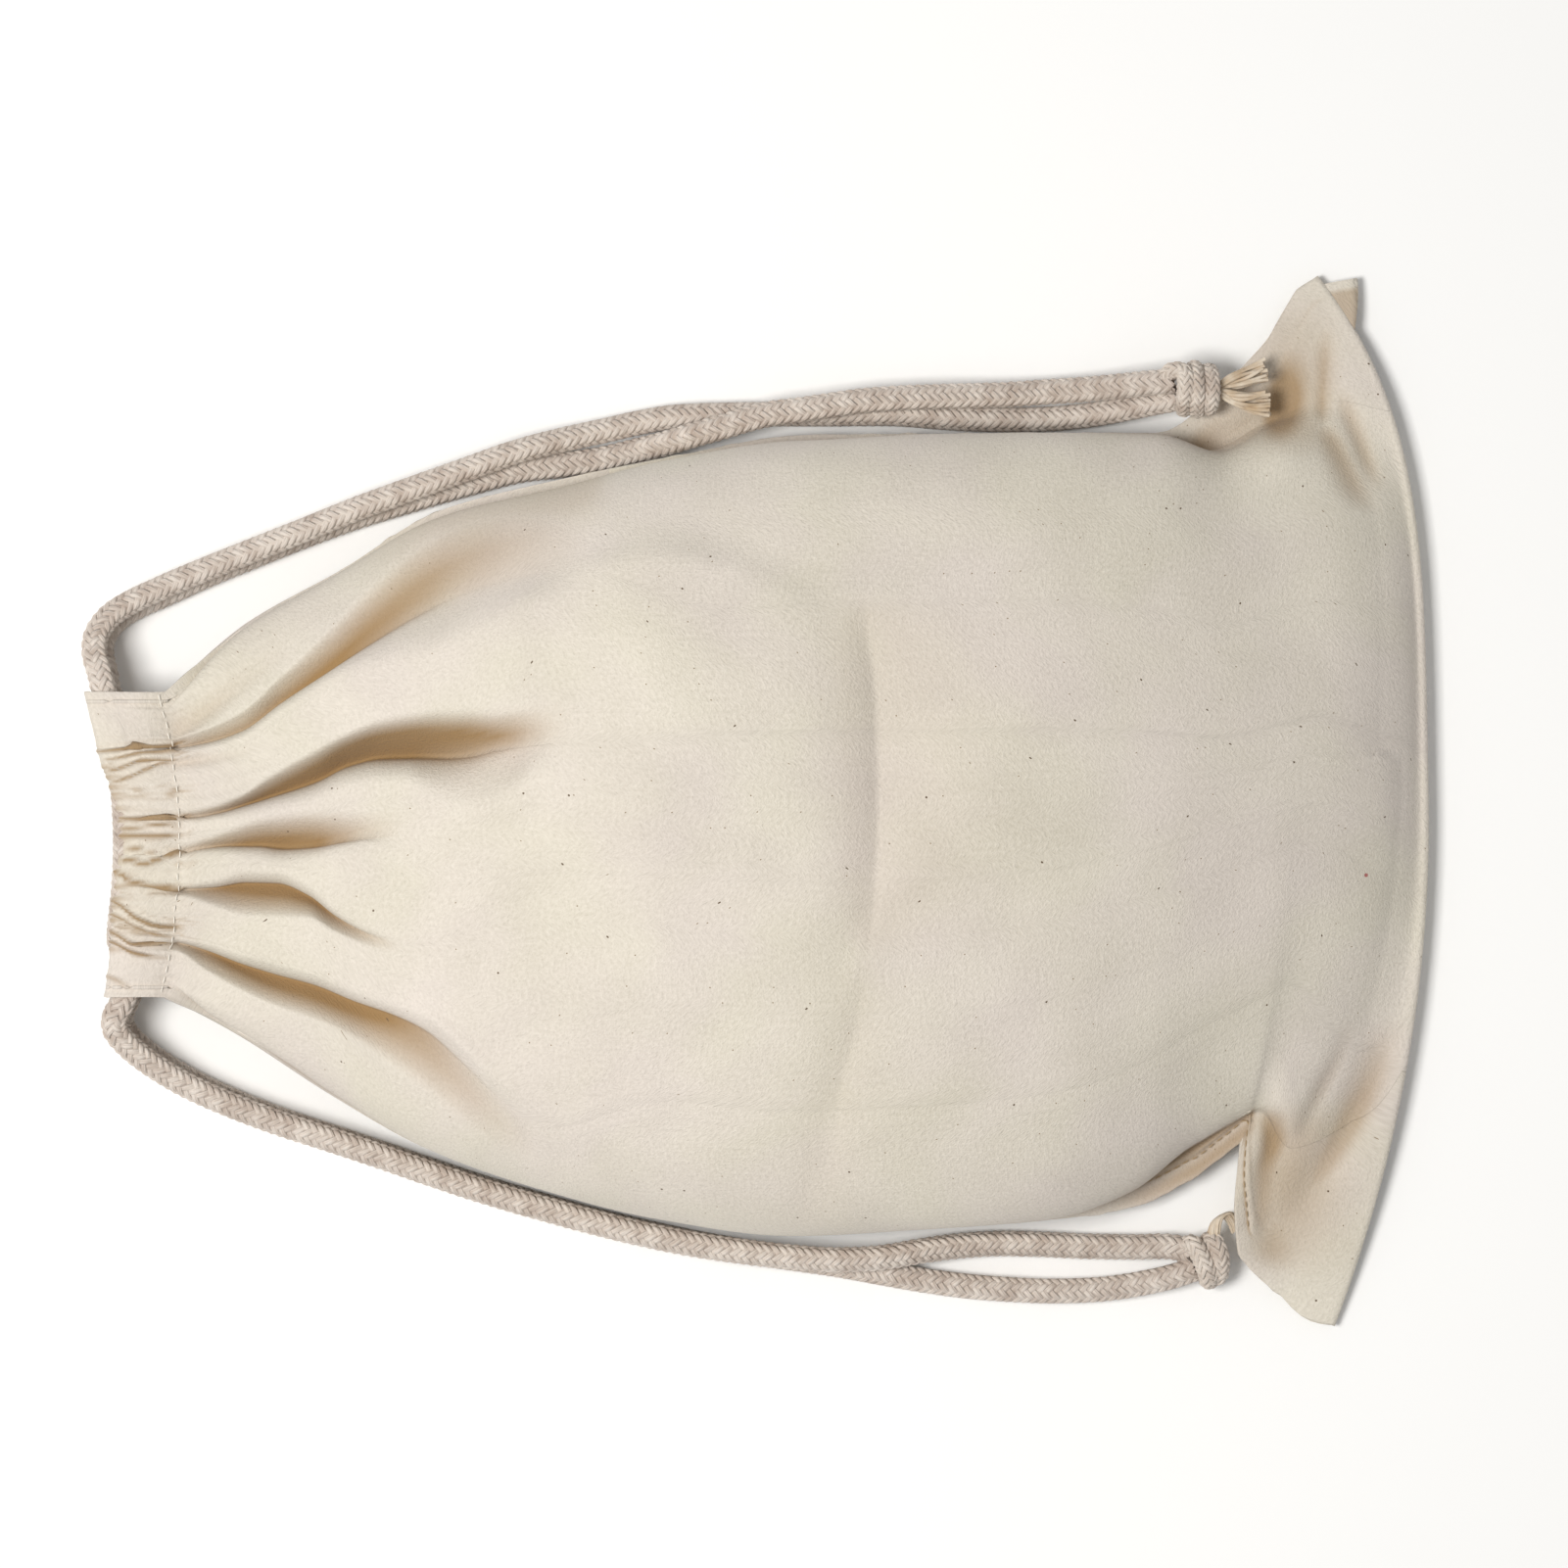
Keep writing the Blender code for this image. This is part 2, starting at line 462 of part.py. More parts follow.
def frayed_tail(name, root, heading, head_width, strands, reach, finish):
    """A frayed cord end: a flat head whose outer faces are each drawn out into a strand."""
    columns, layers = strands
    made = bmesh.new()
    heading = Vector(heading).normalized()
    side = heading.cross(Vector((0, 0, 1))).normalized()
    up = side.cross(heading)
    rows = []
    for depth in (0.0, 1.0):
        for layer in range(layers + 1):
            for column in range(columns + 1):
                place = Vector(root)
                place += heading * depth * TAIL_HEAD
                place += side * (column / columns - 0.5) * head_width * (0.7 + 0.3 * depth)
                place += up * (layer / layers - 0.5) * head_width * TAIL_FLATNESS
                rows.append(made.verts.new(place * MM))

    def corner(depth, layer, column):
        return rows[(depth * (layers + 1) + layer) * (columns + 1) + column]

    tips = []
    for layer in range(layers):
        for column in range(columns):
            for depth in (0, 1):
                face = made.faces.new((
                    corner(depth, layer, column), corner(depth, layer, column + 1),
                    corner(depth, layer + 1, column + 1), corner(depth, layer + 1, column),
                ))
                if depth:
                    tips.append((face, layer, column))
    for column in range(columns):
        for layer in (0, layers):
            made.faces.new((
                corner(0, layer, column), corner(0, layer, column + 1),
                corner(1, layer, column + 1), corner(1, layer, column),
            ))
    for layer in range(layers):
        for column in (0, columns):
            made.faces.new((
                corner(0, layer, column), corner(0, layer + 1, column),
                corner(1, layer + 1, column), corner(1, layer, column),
            ))
    bmesh.ops.recalc_face_normals(made, faces=made.faces)
    for face, layer, column in tips:
        inner = bmesh.ops.inset_individual(made, faces=[face], thickness=STRAND_INSET * MM)
        spread = (column + 0.5) / columns - 0.5
        length = reach * (0.86 + 0.14 * math.cos(2.1 * column + 1.3 * layer))
        for part in range(1, STRAND_STEPS + 1):
            grown = bmesh.ops.extrude_discrete_faces(made, faces=[face])
            face = grown["faces"][0]
            push = heading * length / STRAND_STEPS
            push += side * spread * head_width * TAIL_SPREAD * (1.6 - 0.3 * part)
            push += up * (layer / layers - 0.25) * 0.5
            bmesh.ops.translate(made, verts=face.verts, vec=push * MM)
    bmesh.ops.recalc_face_normals(made, faces=made.faces)
    mesh = bpy.data.meshes.new(name)
    made.to_mesh(mesh)
    made.free()
    mesh.materials.append(finish)
    tail = bpy.data.objects.new(name, mesh)
    bpy.context.collection.objects.link(tail)
    return tail


def build():
    clear_scene()
    canvas = material("unbleached cotton canvas", (0.79, 0.73, 0.64), 0.9)
    yarn = material("braided cotton cord", (0.55, 0.46, 0.37), 0.85)

    front_steps = (4, 4, 4, 4, 3, 3, 3, 3, 3, 3, 2, 2, 2, 2, 3)
    back_steps = (3, 2, 2, 2, 2, 2, 1, 1, 2, 2, 2, 2, 2, 2, 2)
    panel("front_panel", front_steps, 30, front_side, True, canvas)
    panel("back_panel", back_steps, 18, back_side, False, canvas)

    a_out = [(channel_x(y, MOUTH_CORD_INSET), y) for y in (33.4, 22.0, 8.0, -10.0, -22.0, -32.0)]
    a_held = held_route(a_out, turn_back(-33.0, -1, MOUTH_CORD_INSET))
    b_out = [(-193.6, -59.9), (-190.6, -53.0)]
    b_out += [(channel_x(y, INNER_CORD_INSET), y) for y in (-44.0, -30.0, -14.0, 0.0, 14.0)]
    b_held = held_route(b_out, turn_back(15.0, 1, INNER_CORD_INSET))
    for letter, held, front, back in (("a", a_held, A_FRONT, A_BACK), ("b", b_held, B_FRONT, B_BACK)):
        inside = smooth_route(held, TIGHT_STEP)
        cord(f"cord_{letter}_casing", inside, yarn)
        cord(f"cord_{letter}_front", free_route(inside[0], inside[1], front), yarn)
        cord(f"cord_{letter}_back", free_route(inside[-1], inside[-2], back), yarn)

    knot("knot_a", (133.4, 126.6, 16.9), 21.0, 18.0, 15.0, 3.5, 0.5, yarn)
    knot("knot_b", (136.5, -140.8, 7.7), 15.6, 17.6, 15.4, 2.2, 1.2, yarn)
    frayed_tail("tail_a", (144.2, 126.0, 15.0), (1.0, 0.05, -0.12), 9.0, (5, 2), 12.0, yarn)
    frayed_tail("tail_b", (140.6, -132.6, 6.4), (0.62, 0.78, -0.1), 4.4, (3, 2), 8.0, yarn)


build()
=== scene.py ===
# %% [markdown]
# # A canvas drawstring bag, softly filled, lying on a table
#
# The bag is two panels of unbleached cotton canvas, sewn together along both sides. Each top edge
# is turned down into a casing, and two braided cotton cords run through both casings. Pulling them
# gathers the mouth. Each cord's two ends leave on one side and end in an overhand knot.
#
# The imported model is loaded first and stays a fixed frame. Every visible piece is then made in the
# same place: the cords, the knots and their frayed tails, the two panels, and the stitches.
# Lengths in the tables are millimetres, and a mesh is made in metres.

import math
import random

import bpy
import numpy as np
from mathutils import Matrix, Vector, noise


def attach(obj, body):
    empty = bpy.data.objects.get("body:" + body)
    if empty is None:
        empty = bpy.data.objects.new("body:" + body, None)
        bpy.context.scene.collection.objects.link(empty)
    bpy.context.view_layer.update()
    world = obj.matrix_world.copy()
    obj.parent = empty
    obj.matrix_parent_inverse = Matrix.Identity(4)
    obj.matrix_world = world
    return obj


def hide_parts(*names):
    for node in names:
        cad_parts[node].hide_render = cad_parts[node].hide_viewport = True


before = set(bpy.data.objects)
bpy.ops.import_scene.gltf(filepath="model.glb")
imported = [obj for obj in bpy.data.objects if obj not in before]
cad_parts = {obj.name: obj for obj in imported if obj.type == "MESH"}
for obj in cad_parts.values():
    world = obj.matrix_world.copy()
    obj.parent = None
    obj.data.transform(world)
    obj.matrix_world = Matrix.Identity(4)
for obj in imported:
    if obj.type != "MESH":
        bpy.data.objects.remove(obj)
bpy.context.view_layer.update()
MM = 0.001
print("nodes:", ", ".join(sorted(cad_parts)))

# %% [markdown]
# ## Camera
#
# The bag is seen straight from above with the mouth to the left. A long lens far away keeps the
# filled middle from looking larger than the flat corners, which a short lens close by would do.

# %% The camera straight above
VIEW_WIDTH = 0.4803
FRAMED_LEVEL = 0.015  # the height over the table at which the view is that wide
CAMERA_HEIGHT = 2.4  # over that level
CAMERA_X = 0.0078
CAMERA_Y = 0.0054
SENSOR = 36.0
FARTHEST = 20


def add_camera():
    data = bpy.data.cameras.new("above")
    data.sensor_width = SENSOR
    data.lens = SENSOR * CAMERA_HEIGHT / VIEW_WIDTH
    data.clip_end = FARTHEST
    camera = bpy.data.objects.new("above", data)
    camera.location = (CAMERA_X, CAMERA_Y, CAMERA_HEIGHT + FRAMED_LEVEL)
    bpy.context.collection.objects.link(camera)
    bpy.context.scene.camera = camera
    return camera


camera = add_camera()
print("camera lens", round(camera.data.lens), "mm")

# %% [markdown]
# ## Small helpers
#
# Colours are written as on a colour chart, in sRGB hex, and Blender wants them linear, so one
# function turns them. Another adds a node with its settings and its links in one call, which keeps
# each node tree readable from top to bottom. The nodes used most have a function of their own.


# %% Colours and nodes
def linear(hex_code):
    """A colour chart's hex code as the linear colour that a shader socket takes."""
    parts = [int(hex_code[i : i + 2], 16) / 255 for i in (0, 2, 4)]
    return (*[p / 12.92 if p <= 0.04045 else ((p + 0.055) / 1.055) ** 2.4 for p in parts], 1.0)


def set_inputs(tree, node, inputs):
    """Links each named input to a socket, or gives it a value."""
    for name, value in inputs.items():
        if isinstance(value, bpy.types.NodeSocket):
            tree.links.new(value, node.inputs[name])
        else:
            node.inputs[name].default_value = value


def add(tree, kind, inputs=None, **settings):
    """Adds a node, sets its properties, and sets or links its inputs. Returns its outputs."""
    made = tree.nodes.new(kind)
    for name, value in settings.items():
        setattr(made, name, value)
    set_inputs(tree, made, inputs or {})
    return made.outputs


def calc(tree, operation, *values):
    """One step of arithmetic on up to three values."""
    return add(tree, "ShaderNodeMath", dict(enumerate(values)), operation=operation)[0]


def vector_calc(tree, operation, *values):
    return add(tree, "ShaderNodeVectorMath", dict(enumerate(values)), operation=operation)[0]


def noise_at(tree, place, scale, detail=2.0):
    return add(tree, "ShaderNodeTexNoise", {"Vector": place, "Scale": scale, "Detail": detail})[0]


def stretched(tree, value, low, high):
    """A value between two limits, stretched to run from 0 to 1."""
    return add(tree, "ShaderNodeMapRange", {0: value, 1: low, 2: high})[0]


def between(tree, share, first, second):
    """A colour between two colours, which are sockets or hex codes."""
    first, second = (linear(c) if isinstance(c, str) else c for c in (first, second))
    return add(tree, "ShaderNodeMix", {0: share, 6: first, 7: second}, data_type="RGBA")[2]


def bumped(tree, height, strength, distance):
    return add(tree, "ShaderNodeBump", {"Height": height, "Strength": strength, "Distance": distance})[0]


def start_material(name):
    """A material with an empty tree, its Principled shader and its output."""
    made = bpy.data.materials.new(name)
    made.use_nodes = True
    tree = made.node_tree
    tree.nodes.clear()
    shader = tree.nodes.new("ShaderNodeBsdfPrincipled")
    output = tree.nodes.new("ShaderNodeOutputMaterial")
    tree.links.new(shader.outputs[0], output.inputs[0])
    return made, tree, shader


def link_object(name, data):
    made = bpy.data.objects.new(name, data)
    bpy.context.collection.objects.link(made)
    return made


# %% [markdown]
# ## The cord's material
#
# The cord is braided from soft, loosely spun cotton. Each carrier of the braid lays down a flat
# bundle of yarns. The yarns are too fine to model, so each bundle carries them as grooves in the
# bump, with a little painted shade along the groove bottoms: the braid stores how far round and
# along the bundle a point lies.
# Cotton is a matte fibre with a little fuzz, which sheen gives, and no metal or gloss.


# %% Soft spun cotton yarn
GROOVE_TWIST = 900.0  # how fast the grooves wind, in radians a metre
FIBRE_SCALE = 2600.0
BLOTCH_SCALE = 160.0


def cotton_yarn(name, light, dark, grooves):
    made, tree, shader = start_material(name)
    across = add(tree, "ShaderNodeAttribute", attribute_name="across")["Fac"]
    along = add(tree, "ShaderNodeAttribute", attribute_name="along")["Fac"]
    turns = calc(tree, "MULTIPLY", across, grooves * math.tau)
    groove = calc(tree, "SINE", calc(tree, "ADD", turns, calc(tree, "MULTIPLY", along, GROOVE_TWIST)))
    place = add(tree, "ShaderNodeTexCoord")["Object"]
    height = calc(tree, "MULTIPLY_ADD", groove, 0.35, noise_at(tree, place, FIBRE_SCALE, 3.0))
    # The colour is a little darker along the groove bottoms: painted shade between the yarns.
    tone = calc(tree, "MULTIPLY_ADD", groove, 0.12, noise_at(tree, place, BLOTCH_SCALE))
    set_inputs(tree, shader, {
        "Base Color": between(tree, stretched(tree, tone, 0.25, 0.7), dark, light),
        "Normal": bumped(tree, height, 0.55, 0.00035),
        "Roughness": 0.9, "Specular IOR Level": 0.25, "Sheen Weight": 0.15, "Sheen Roughness": 0.5,
    })
    return made


braid_yarn = cotton_yarn("soft spun cotton braid", "DED4CA", "BBACA0", 1.5)
knot_yarn = cotton_yarn("soft spun cotton braid in the knots", "E0D6CB", "BEAFA2", 1.5)
tail_yarn = cotton_yarn("frayed cotton yarn", "E6DAC8", "B89C78", 1.0)
# The core's dark colour is painted shade in the gaps between the bundles.
gap_shade_core = cotton_yarn("dark cord core, painted shade in the braid's gaps", "8B6F55", "6B533D", 1.0)

# %% [markdown]
# ## The braid
#
# A round cord like this is made on a machine with sixteen carriers. Eight go round one way and
# eight the other way, and each passes over two and then under two. So a carrier's path is a helix
# whose radius rises and falls once every four crossings. That is a rule, so Geometry Nodes make it:
# the cord's centreline is copied sixteen times, each copy is moved out to its helix, and a flat
# bundle is swept along it. A core closes the gaps between the bundles, and its dark colour is
# painted shade for the gaps.


# %% The braid as a node tree
CARRIERS = 16
BUNDLE_SIDES = 6
CORE_SIDES = 10
CORE_SHARE = 0.84  # the core's radius over the cord's
CORE_STEP = 0.0025


def start_group(name, sizes, finishes):
    """An empty Geometry Nodes tree that takes sizes and materials. Returns it and what it is given."""
    tree = bpy.data.node_groups.new(name, "GeometryNodeTree")
    face = tree.interface
    face.new_socket("Geometry", in_out="INPUT", socket_type="NodeSocketGeometry")
    for size in sizes:
        face.new_socket(size, in_out="INPUT", socket_type="NodeSocketFloat")
    for finish in finishes:
        face.new_socket(finish, in_out="INPUT", socket_type="NodeSocketMaterial")
    face.new_socket("Geometry", in_out="OUTPUT", socket_type="NodeSocketGeometry")
    return tree, add(tree, "NodeGroupInput")


def scaled(tree, vector, factor):
    return add(tree, "ShaderNodeVectorMath", {0: vector, "Scale": factor}, operation="SCALE")[0]


def stored(tree, geometry, name, value, kind="FLOAT"):
    inputs = {"Geometry": geometry, "Name": name, "Value": value}
    return add(tree, "GeometryNodeStoreNamedAttribute", inputs, data_type=kind)[0]


def stepped(tree, line, step):
    """A line divided into steps of one length."""
    return add(tree, "GeometryNodeResampleCurve", {"Curve": line, "Length": step}, mode="LENGTH")[0]


def swept(tree, line, profile, finish):
    """A profile swept along a line, with its ends closed."""
    inputs = {"Curve": line, "Profile Curve": profile, "Fill Caps": True}
    mesh = add(tree, "GeometryNodeCurveToMesh", inputs)[0]
    return add(tree, "GeometryNodeSetMaterial", {"Geometry": mesh, "Material": finish})[0]


def braid_tree():
    sizes = ("Cord radius", "Pitch", "Rise", "Bundle width", "Bundle thickness", "Step")
    tree, given = start_group("braid", sizes, ("Yarn", "Core"))
    line = stepped(tree, given["Geometry"], given["Step"])
    copies = add(tree, "GeometryNodeDuplicateElements", {"Geometry": line, "Amount": CARRIERS},
                 domain="SPLINE")
    # The first half of the carriers turns one way and the second half the other way.
    carrier = copies["Duplicate Index"]
    other = calc(tree, "GREATER_THAN", carrier, CARRIERS / 2 - 0.5)
    way = calc(tree, "MULTIPLY_ADD", other, -2.0, 1.0)
    number = calc(tree, "MODULO", carrier, CARRIERS / 2)
    length = add(tree, "GeometryNodeSplineParameter")["Length"]
    # The angle round the cord: an eighth of a turn a carrier, and one turn a pitch.
    spin = calc(tree, "MULTIPLY", calc(tree, "DIVIDE", length, given["Pitch"]), way)
    angle = calc(tree, "MULTIPLY", calc(tree, "MULTIPLY_ADD", number, 2 / CARRIERS, spin), math.tau)
    # Over two and under two: sixteen crossings a pitch, and a quarter of a wave a crossing.
    wave = calc(tree, "MULTIPLY", spin, CARRIERS / 4 * math.tau)
    shifted = calc(tree, "MULTIPLY_ADD", number, math.pi, wave)
    lift = calc(tree, "COSINE", calc(tree, "SUBTRACT", shifted, math.pi / 4))
    signed = calc(tree, "MULTIPLY", lift, way)
    radius = calc(tree, "MULTIPLY_ADD", signed, given["Rise"], given["Cord radius"])

    normal = add(tree, "GeometryNodeInputNormal")[0]
    tangent = add(tree, "GeometryNodeInputTangent")[0]
    side = vector_calc(tree, "CROSS_PRODUCT", tangent, normal)
    first = scaled(tree, normal, calc(tree, "COSINE", angle))
    second = scaled(tree, side, calc(tree, "SINE", angle))
    outward = vector_calc(tree, "ADD", first, second)
    kept = stored(tree, copies["Geometry"], "outward", outward, "FLOAT_VECTOR")
    kept = stored(tree, kept, "along", length)
    offset = scaled(tree, outward, radius)
    moved = add(tree, "GeometryNodeSetPosition", {"Geometry": kept, "Offset": offset})[0]
    read = add(tree, "GeometryNodeInputNamedAttribute", {"Name": "outward"}, data_type="FLOAT_VECTOR")[0]
    faced = add(tree, "GeometryNodeSetCurveNormal", {"Curve": moved, "Normal": read}, mode="FREE")[0]

    ring = add(tree, "GeometryNodeCurvePrimitiveCircle", {"Resolution": BUNDLE_SIDES, "Radius": 0.5})[0]
    flat = add(tree, "ShaderNodeCombineXYZ",
               {0: given["Bundle thickness"], 1: given["Bundle width"], 2: 1.0})[0]
    bundle = add(tree, "GeometryNodeTransform", {"Geometry": ring, "Scale": flat})[0]
    bundle = stored(tree, bundle, "across", add(tree, "GeometryNodeSplineParameter")["Factor"])
    yarns = swept(tree, faced, bundle, given["Yarn"])

    core_radius = calc(tree, "MULTIPLY", given["Cord radius"], CORE_SHARE)
    disc = add(tree, "GeometryNodeCurvePrimitiveCircle",
               {"Resolution": CORE_SIDES, "Radius": core_radius})[0]
    core = swept(tree, stepped(tree, given["Geometry"], CORE_STEP), disc, given["Core"])
    both = tree.nodes.new("GeometryNodeJoinGeometry")
    tree.links.new(yarns, both.inputs[0])
    tree.links.new(core, both.inputs[0])
    smooth = add(tree, "GeometryNodeSetShadeSmooth", {"Geometry": both.outputs[0]})[0]
    real = add(tree, "GeometryNodeRealizeInstances", {"Geometry": smooth})[0]
    add(tree, "NodeGroupOutput", {"Geometry": real})
    return tree


braid = braid_tree()
print("braid tree:", len(braid.nodes), "nodes")


# %% Lay a braid along a route
def line_object(name, points):
    """A poly curve through points in millimetres."""
    curve = bpy.data.curves.new(name, "CURVE")
    curve.dimensions = "3D"
    spline = curve.splines.new("POLY")
    spline.points.add(len(points) - 1)
    for target, point in zip(spline.points, points):
        target.co = (*(np.asarray(point, float) * MM), 1.0)
    return link_object(name + "_line", curve)


def mesh_of(source, name):
    """The mesh that a source object evaluates to, as an object of its own in the source's place."""
    graph = bpy.context.evaluated_depsgraph_get()
    mesh = bpy.data.meshes.new_from_object(source.evaluated_get(graph))
    mesh.name = name
    bpy.data.objects.remove(source)
    return link_object(name, mesh)


def baked(name, source, tree, values):
    """The mesh that a node tree makes from a source object."""
    modifier = source.modifiers.new(tree.name, "NODES")
    modifier.node_group = tree
    for socket in tree.interface.items_tree:
        if socket.in_out == "INPUT" and socket.name in values:
            modifier[socket.identifier] = values[socket.name]
    made = mesh_of(source, name)
    print(name, len(made.data.polygons), "faces")
    return made


def lay_braid(name, points, radius=3.1, pitch=21.0, rise=0.45, width=2.05, thickness=1.05, step=0.85,
              yarn=None):
    values = {
        "Cord radius": radius * MM, "Pitch": pitch * MM, "Rise": rise * MM, "Bundle width": width * MM,
        "Bundle thickness": thickness * MM, "Step": step * MM, "Yarn": yarn or braid_yarn, "Core": gap_shade_core,
    }
    return baked(name, line_object(name, points), braid, values)


# %% [markdown]
# ## Where the cords lie
#
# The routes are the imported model's own. In the casings each cord runs in along the front, turns
# back round the far end and comes out along the back. Outside, its two strands lie down the side of
# the bag, cross once and meet in the knot. A curve through a few points is enough, because a limp
# cord has no sharp bends. The free strands reach a little way into the casings, so that no join
# shows at the mouth.

# %% Curves through tables
CROSS_COLUMNS = (
    "low_x", "low_y", "high_x", "high_y", "mid_x", "crest_y", "crest", "full",
    "low_z", "high_z", "lift", "low_ear", "high_ear", "low_show", "high_show",
    "low_droop", "high_droop", "back_x", "rest",
)
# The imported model's cross-lines, from the casing's stitch line to the bottom fold.
CROSS_LINES = (
    (-181, -59.5, -181, 33.5, -174.5, -13, 27.9, 2.2, 26, 26, 0, 3, 3, 5, 5, 0, 0, 0, 5.45),
    (-160, -70.5, -157, 54, -156, -10, 39, 2.2, 12.5, 12.5, 7, 5, 5, 0.6, 0.8, 0, 0, 0, 0.75),
    (-130, -90, -128, 71, -128, -9, 55, 2.3, 10.5, 10.5, 10, 5, 5, 0.6, 1, 0, 0, 0, 0.75),
    (-100, -107, -98, 89.2, -98, -5, 70, 2.3, 9.8, 9.8, 12, 5, 6, 0.6, 2.5, 0, 0, 0, 0.75),
    (-66, -119, -62, 98.6, -64, 0, 82, 2.3, 9.8, 9.8, 13, 5, 6, 0.6, 3, 0, 0, 0, 0.75),
    (-30, -128, -26, 106, -28, 2, 88, 2.35, 9.8, 9.8, 14, 5, 6, 0.6, 1.5, 0, 0, 0, 0.75),
    (10, -133, 14, 112.5, 12, 2, 87, 2.4, 9.8, 9.8, 14, 5, 6, 0.6, 2.4, 0, 0, 0, 0.75),
    (50, -131, 54, 112.9, 52, 2, 81, 2.4, 10, 10, 14, 5, 5, 0.6, 0.8, 0, 0, 0, 0.75),
    (88, -128.5, 92, 113.2, 92, 4, 71, 2.3, 9.8, 9.8, 12, 5, 5, 0.8, 0.6, 0, 0, 0, 0.75),
    (113, -125, 122, 113.2, 122, 6, 60, 2.1, 9.5, 8.5, 9, 6.5, 6, 5.5, 0.8, 0, 0, 0, 0.75),
    (131, -117, 140, 125.5, 145, 8, 50, 1.9, 10.5, 8, 6, 11, 16, 12, 18, 0, 0.5, 0, 0.75),
    (148.5, -103.5, 150, 135, 162, 12, 42, 1.7, 13, 8, 3.5, 7.5, 18, 8.5, 20.5, 0, 1.5, 0, 0.75),
    (146, -121, 157, 143, 177, 14, 34, 1.55, 14, 8, 1.2, 24.5, 21, 25.5, 22.5, 0, 3, 0, 0.75),
    (147, -137, 161, 150, 189, 15, 26, 1.4, 12, 8, 0.2, 31, 27, 31.5, 27.5, 2, 4, 0, 0.75),
    (161, -152.3, 166, 158, 199, 10, 17.5, 1.3, 8.5, 8, 0, 54, 37, 54.5, 37.5, 4, 4.5, 5, 1.6),
    (176, -161, 171, 161, 204.4, 0, 9.3, 1.2, 8, 8, 0, 78, 41, 78.5, 41.5, 4.5, 4.5, 13, 6.7),
)


def unit(value):
    """A value kept between 0 and 1."""
    return np.clip(value, 0, 1)


def bell(off, width):
    """1 in the middle, falling away smoothly over about a width."""
    return np.exp(-((off / width) ** 2))


def monotone(knots, values, at):
    """A smooth curve through the values that never swings past them, read at the given places."""
    knots = np.asarray(knots, float)
    values = np.asarray(values, float)
    step = np.diff(knots)
    rise = np.diff(values) / step
    slope = np.zeros(len(knots))
    same = rise[:-1] * rise[1:] > 0
    before = 2 * step[1:] + step[:-1]
    after = step[1:] + 2 * step[:-1]
    safe = np.where(same, rise[:-1], 1.0), np.where(same, rise[1:], 1.0)
    mean = (before + after) / (before / safe[0] + after / safe[1])
    slope[1:-1] = np.where(same, mean, 0.0)
    slope[0] = rise[0]
    slope[-1] = rise[-1]
    at = np.clip(np.asarray(at, float), knots[0], knots[-1])
    i = np.clip(np.searchsorted(knots, at, side="right") - 1, 0, len(step) - 1)
    t = (at - knots[i]) / step[i]
    square = t * t
    cube = square * t
    start = (2 * cube - 3 * square + 1) * values[i] + (cube - 2 * square + t) * step[i] * slope[i]
    end = (3 * square - 2 * cube) * values[i + 1] + (cube - square) * step[i] * slope[i + 1]
    return start + end


BLUNT_CORNER = 2.2  # how far the -Y corner bulges between the last two lines
LAST_BUT_ONE = len(CROSS_LINES) - 2


def cross_line(place):
    """The cross-line's columns at a place counted in lines from the stitch line."""
    knots = np.arange(len(CROSS_LINES))
    columns = zip(CROSS_COLUMNS, zip(*CROSS_LINES))
    line = {name: float(monotone(knots, column, place)) for name, column in columns}
    line["joined"] = min(place, 1.0)
    line["low_y"] -= BLUNT_CORNER * math.sin(math.pi * min(max(place - LAST_BUT_ONE, 0.0), 1.0))
    return line


def plan_x(line, place, y):
    """x along a cross-line, which bows between its ends, more squarely towards the +Y corner."""
    middle = (line["low_y"] + line["high_y"]) / 2
    half = (line["high_y"] - line["low_y"]) / 2
    across = np.clip((y - middle) / half, -1, 1)
    power = np.where(across > 0, 2 + 2 * place / (len(CROSS_LINES) - 1), 2.0)
    straight = line["low_x"] + (line["high_x"] - line["low_x"]) * (across + 1) / 2
    bow = line["mid_x"] - (line["low_x"] + line["high_x"]) / 2
    return straight + bow * (1 - np.abs(across) ** power)


def smooth_route(points, spacing):
    """Points about a spacing apart on a smooth curve through the route's points."""
    points = np.asarray(points, float)
    reach = np.concatenate([[0], np.cumsum(np.linalg.norm(np.diff(points, axis=0), axis=1))])
    at = np.linspace(0, reach[-1], max(4, round(reach[-1] / spacing)) + 1)
    slope = np.gradient(points, reach, axis=0)
    i = np.clip(np.searchsorted(reach, at, side="right") - 1, 0, len(reach) - 2)
    step = (reach[i + 1] - reach[i])[:, None]
    t = (at - reach[i])[:, None] / step
    start = (2 * t**3 - 3 * t**2 + 1) * points[i] + (t**3 - 2 * t**2 + t) * step * slope[i]
    end = (3 * t**2 - 2 * t**3) * points[i + 1] + (t**3 - t**2) * step * slope[i + 1]
    return start + end


def length_of(points):
    return float(np.linalg.norm(np.diff(points, axis=0), axis=1).sum())


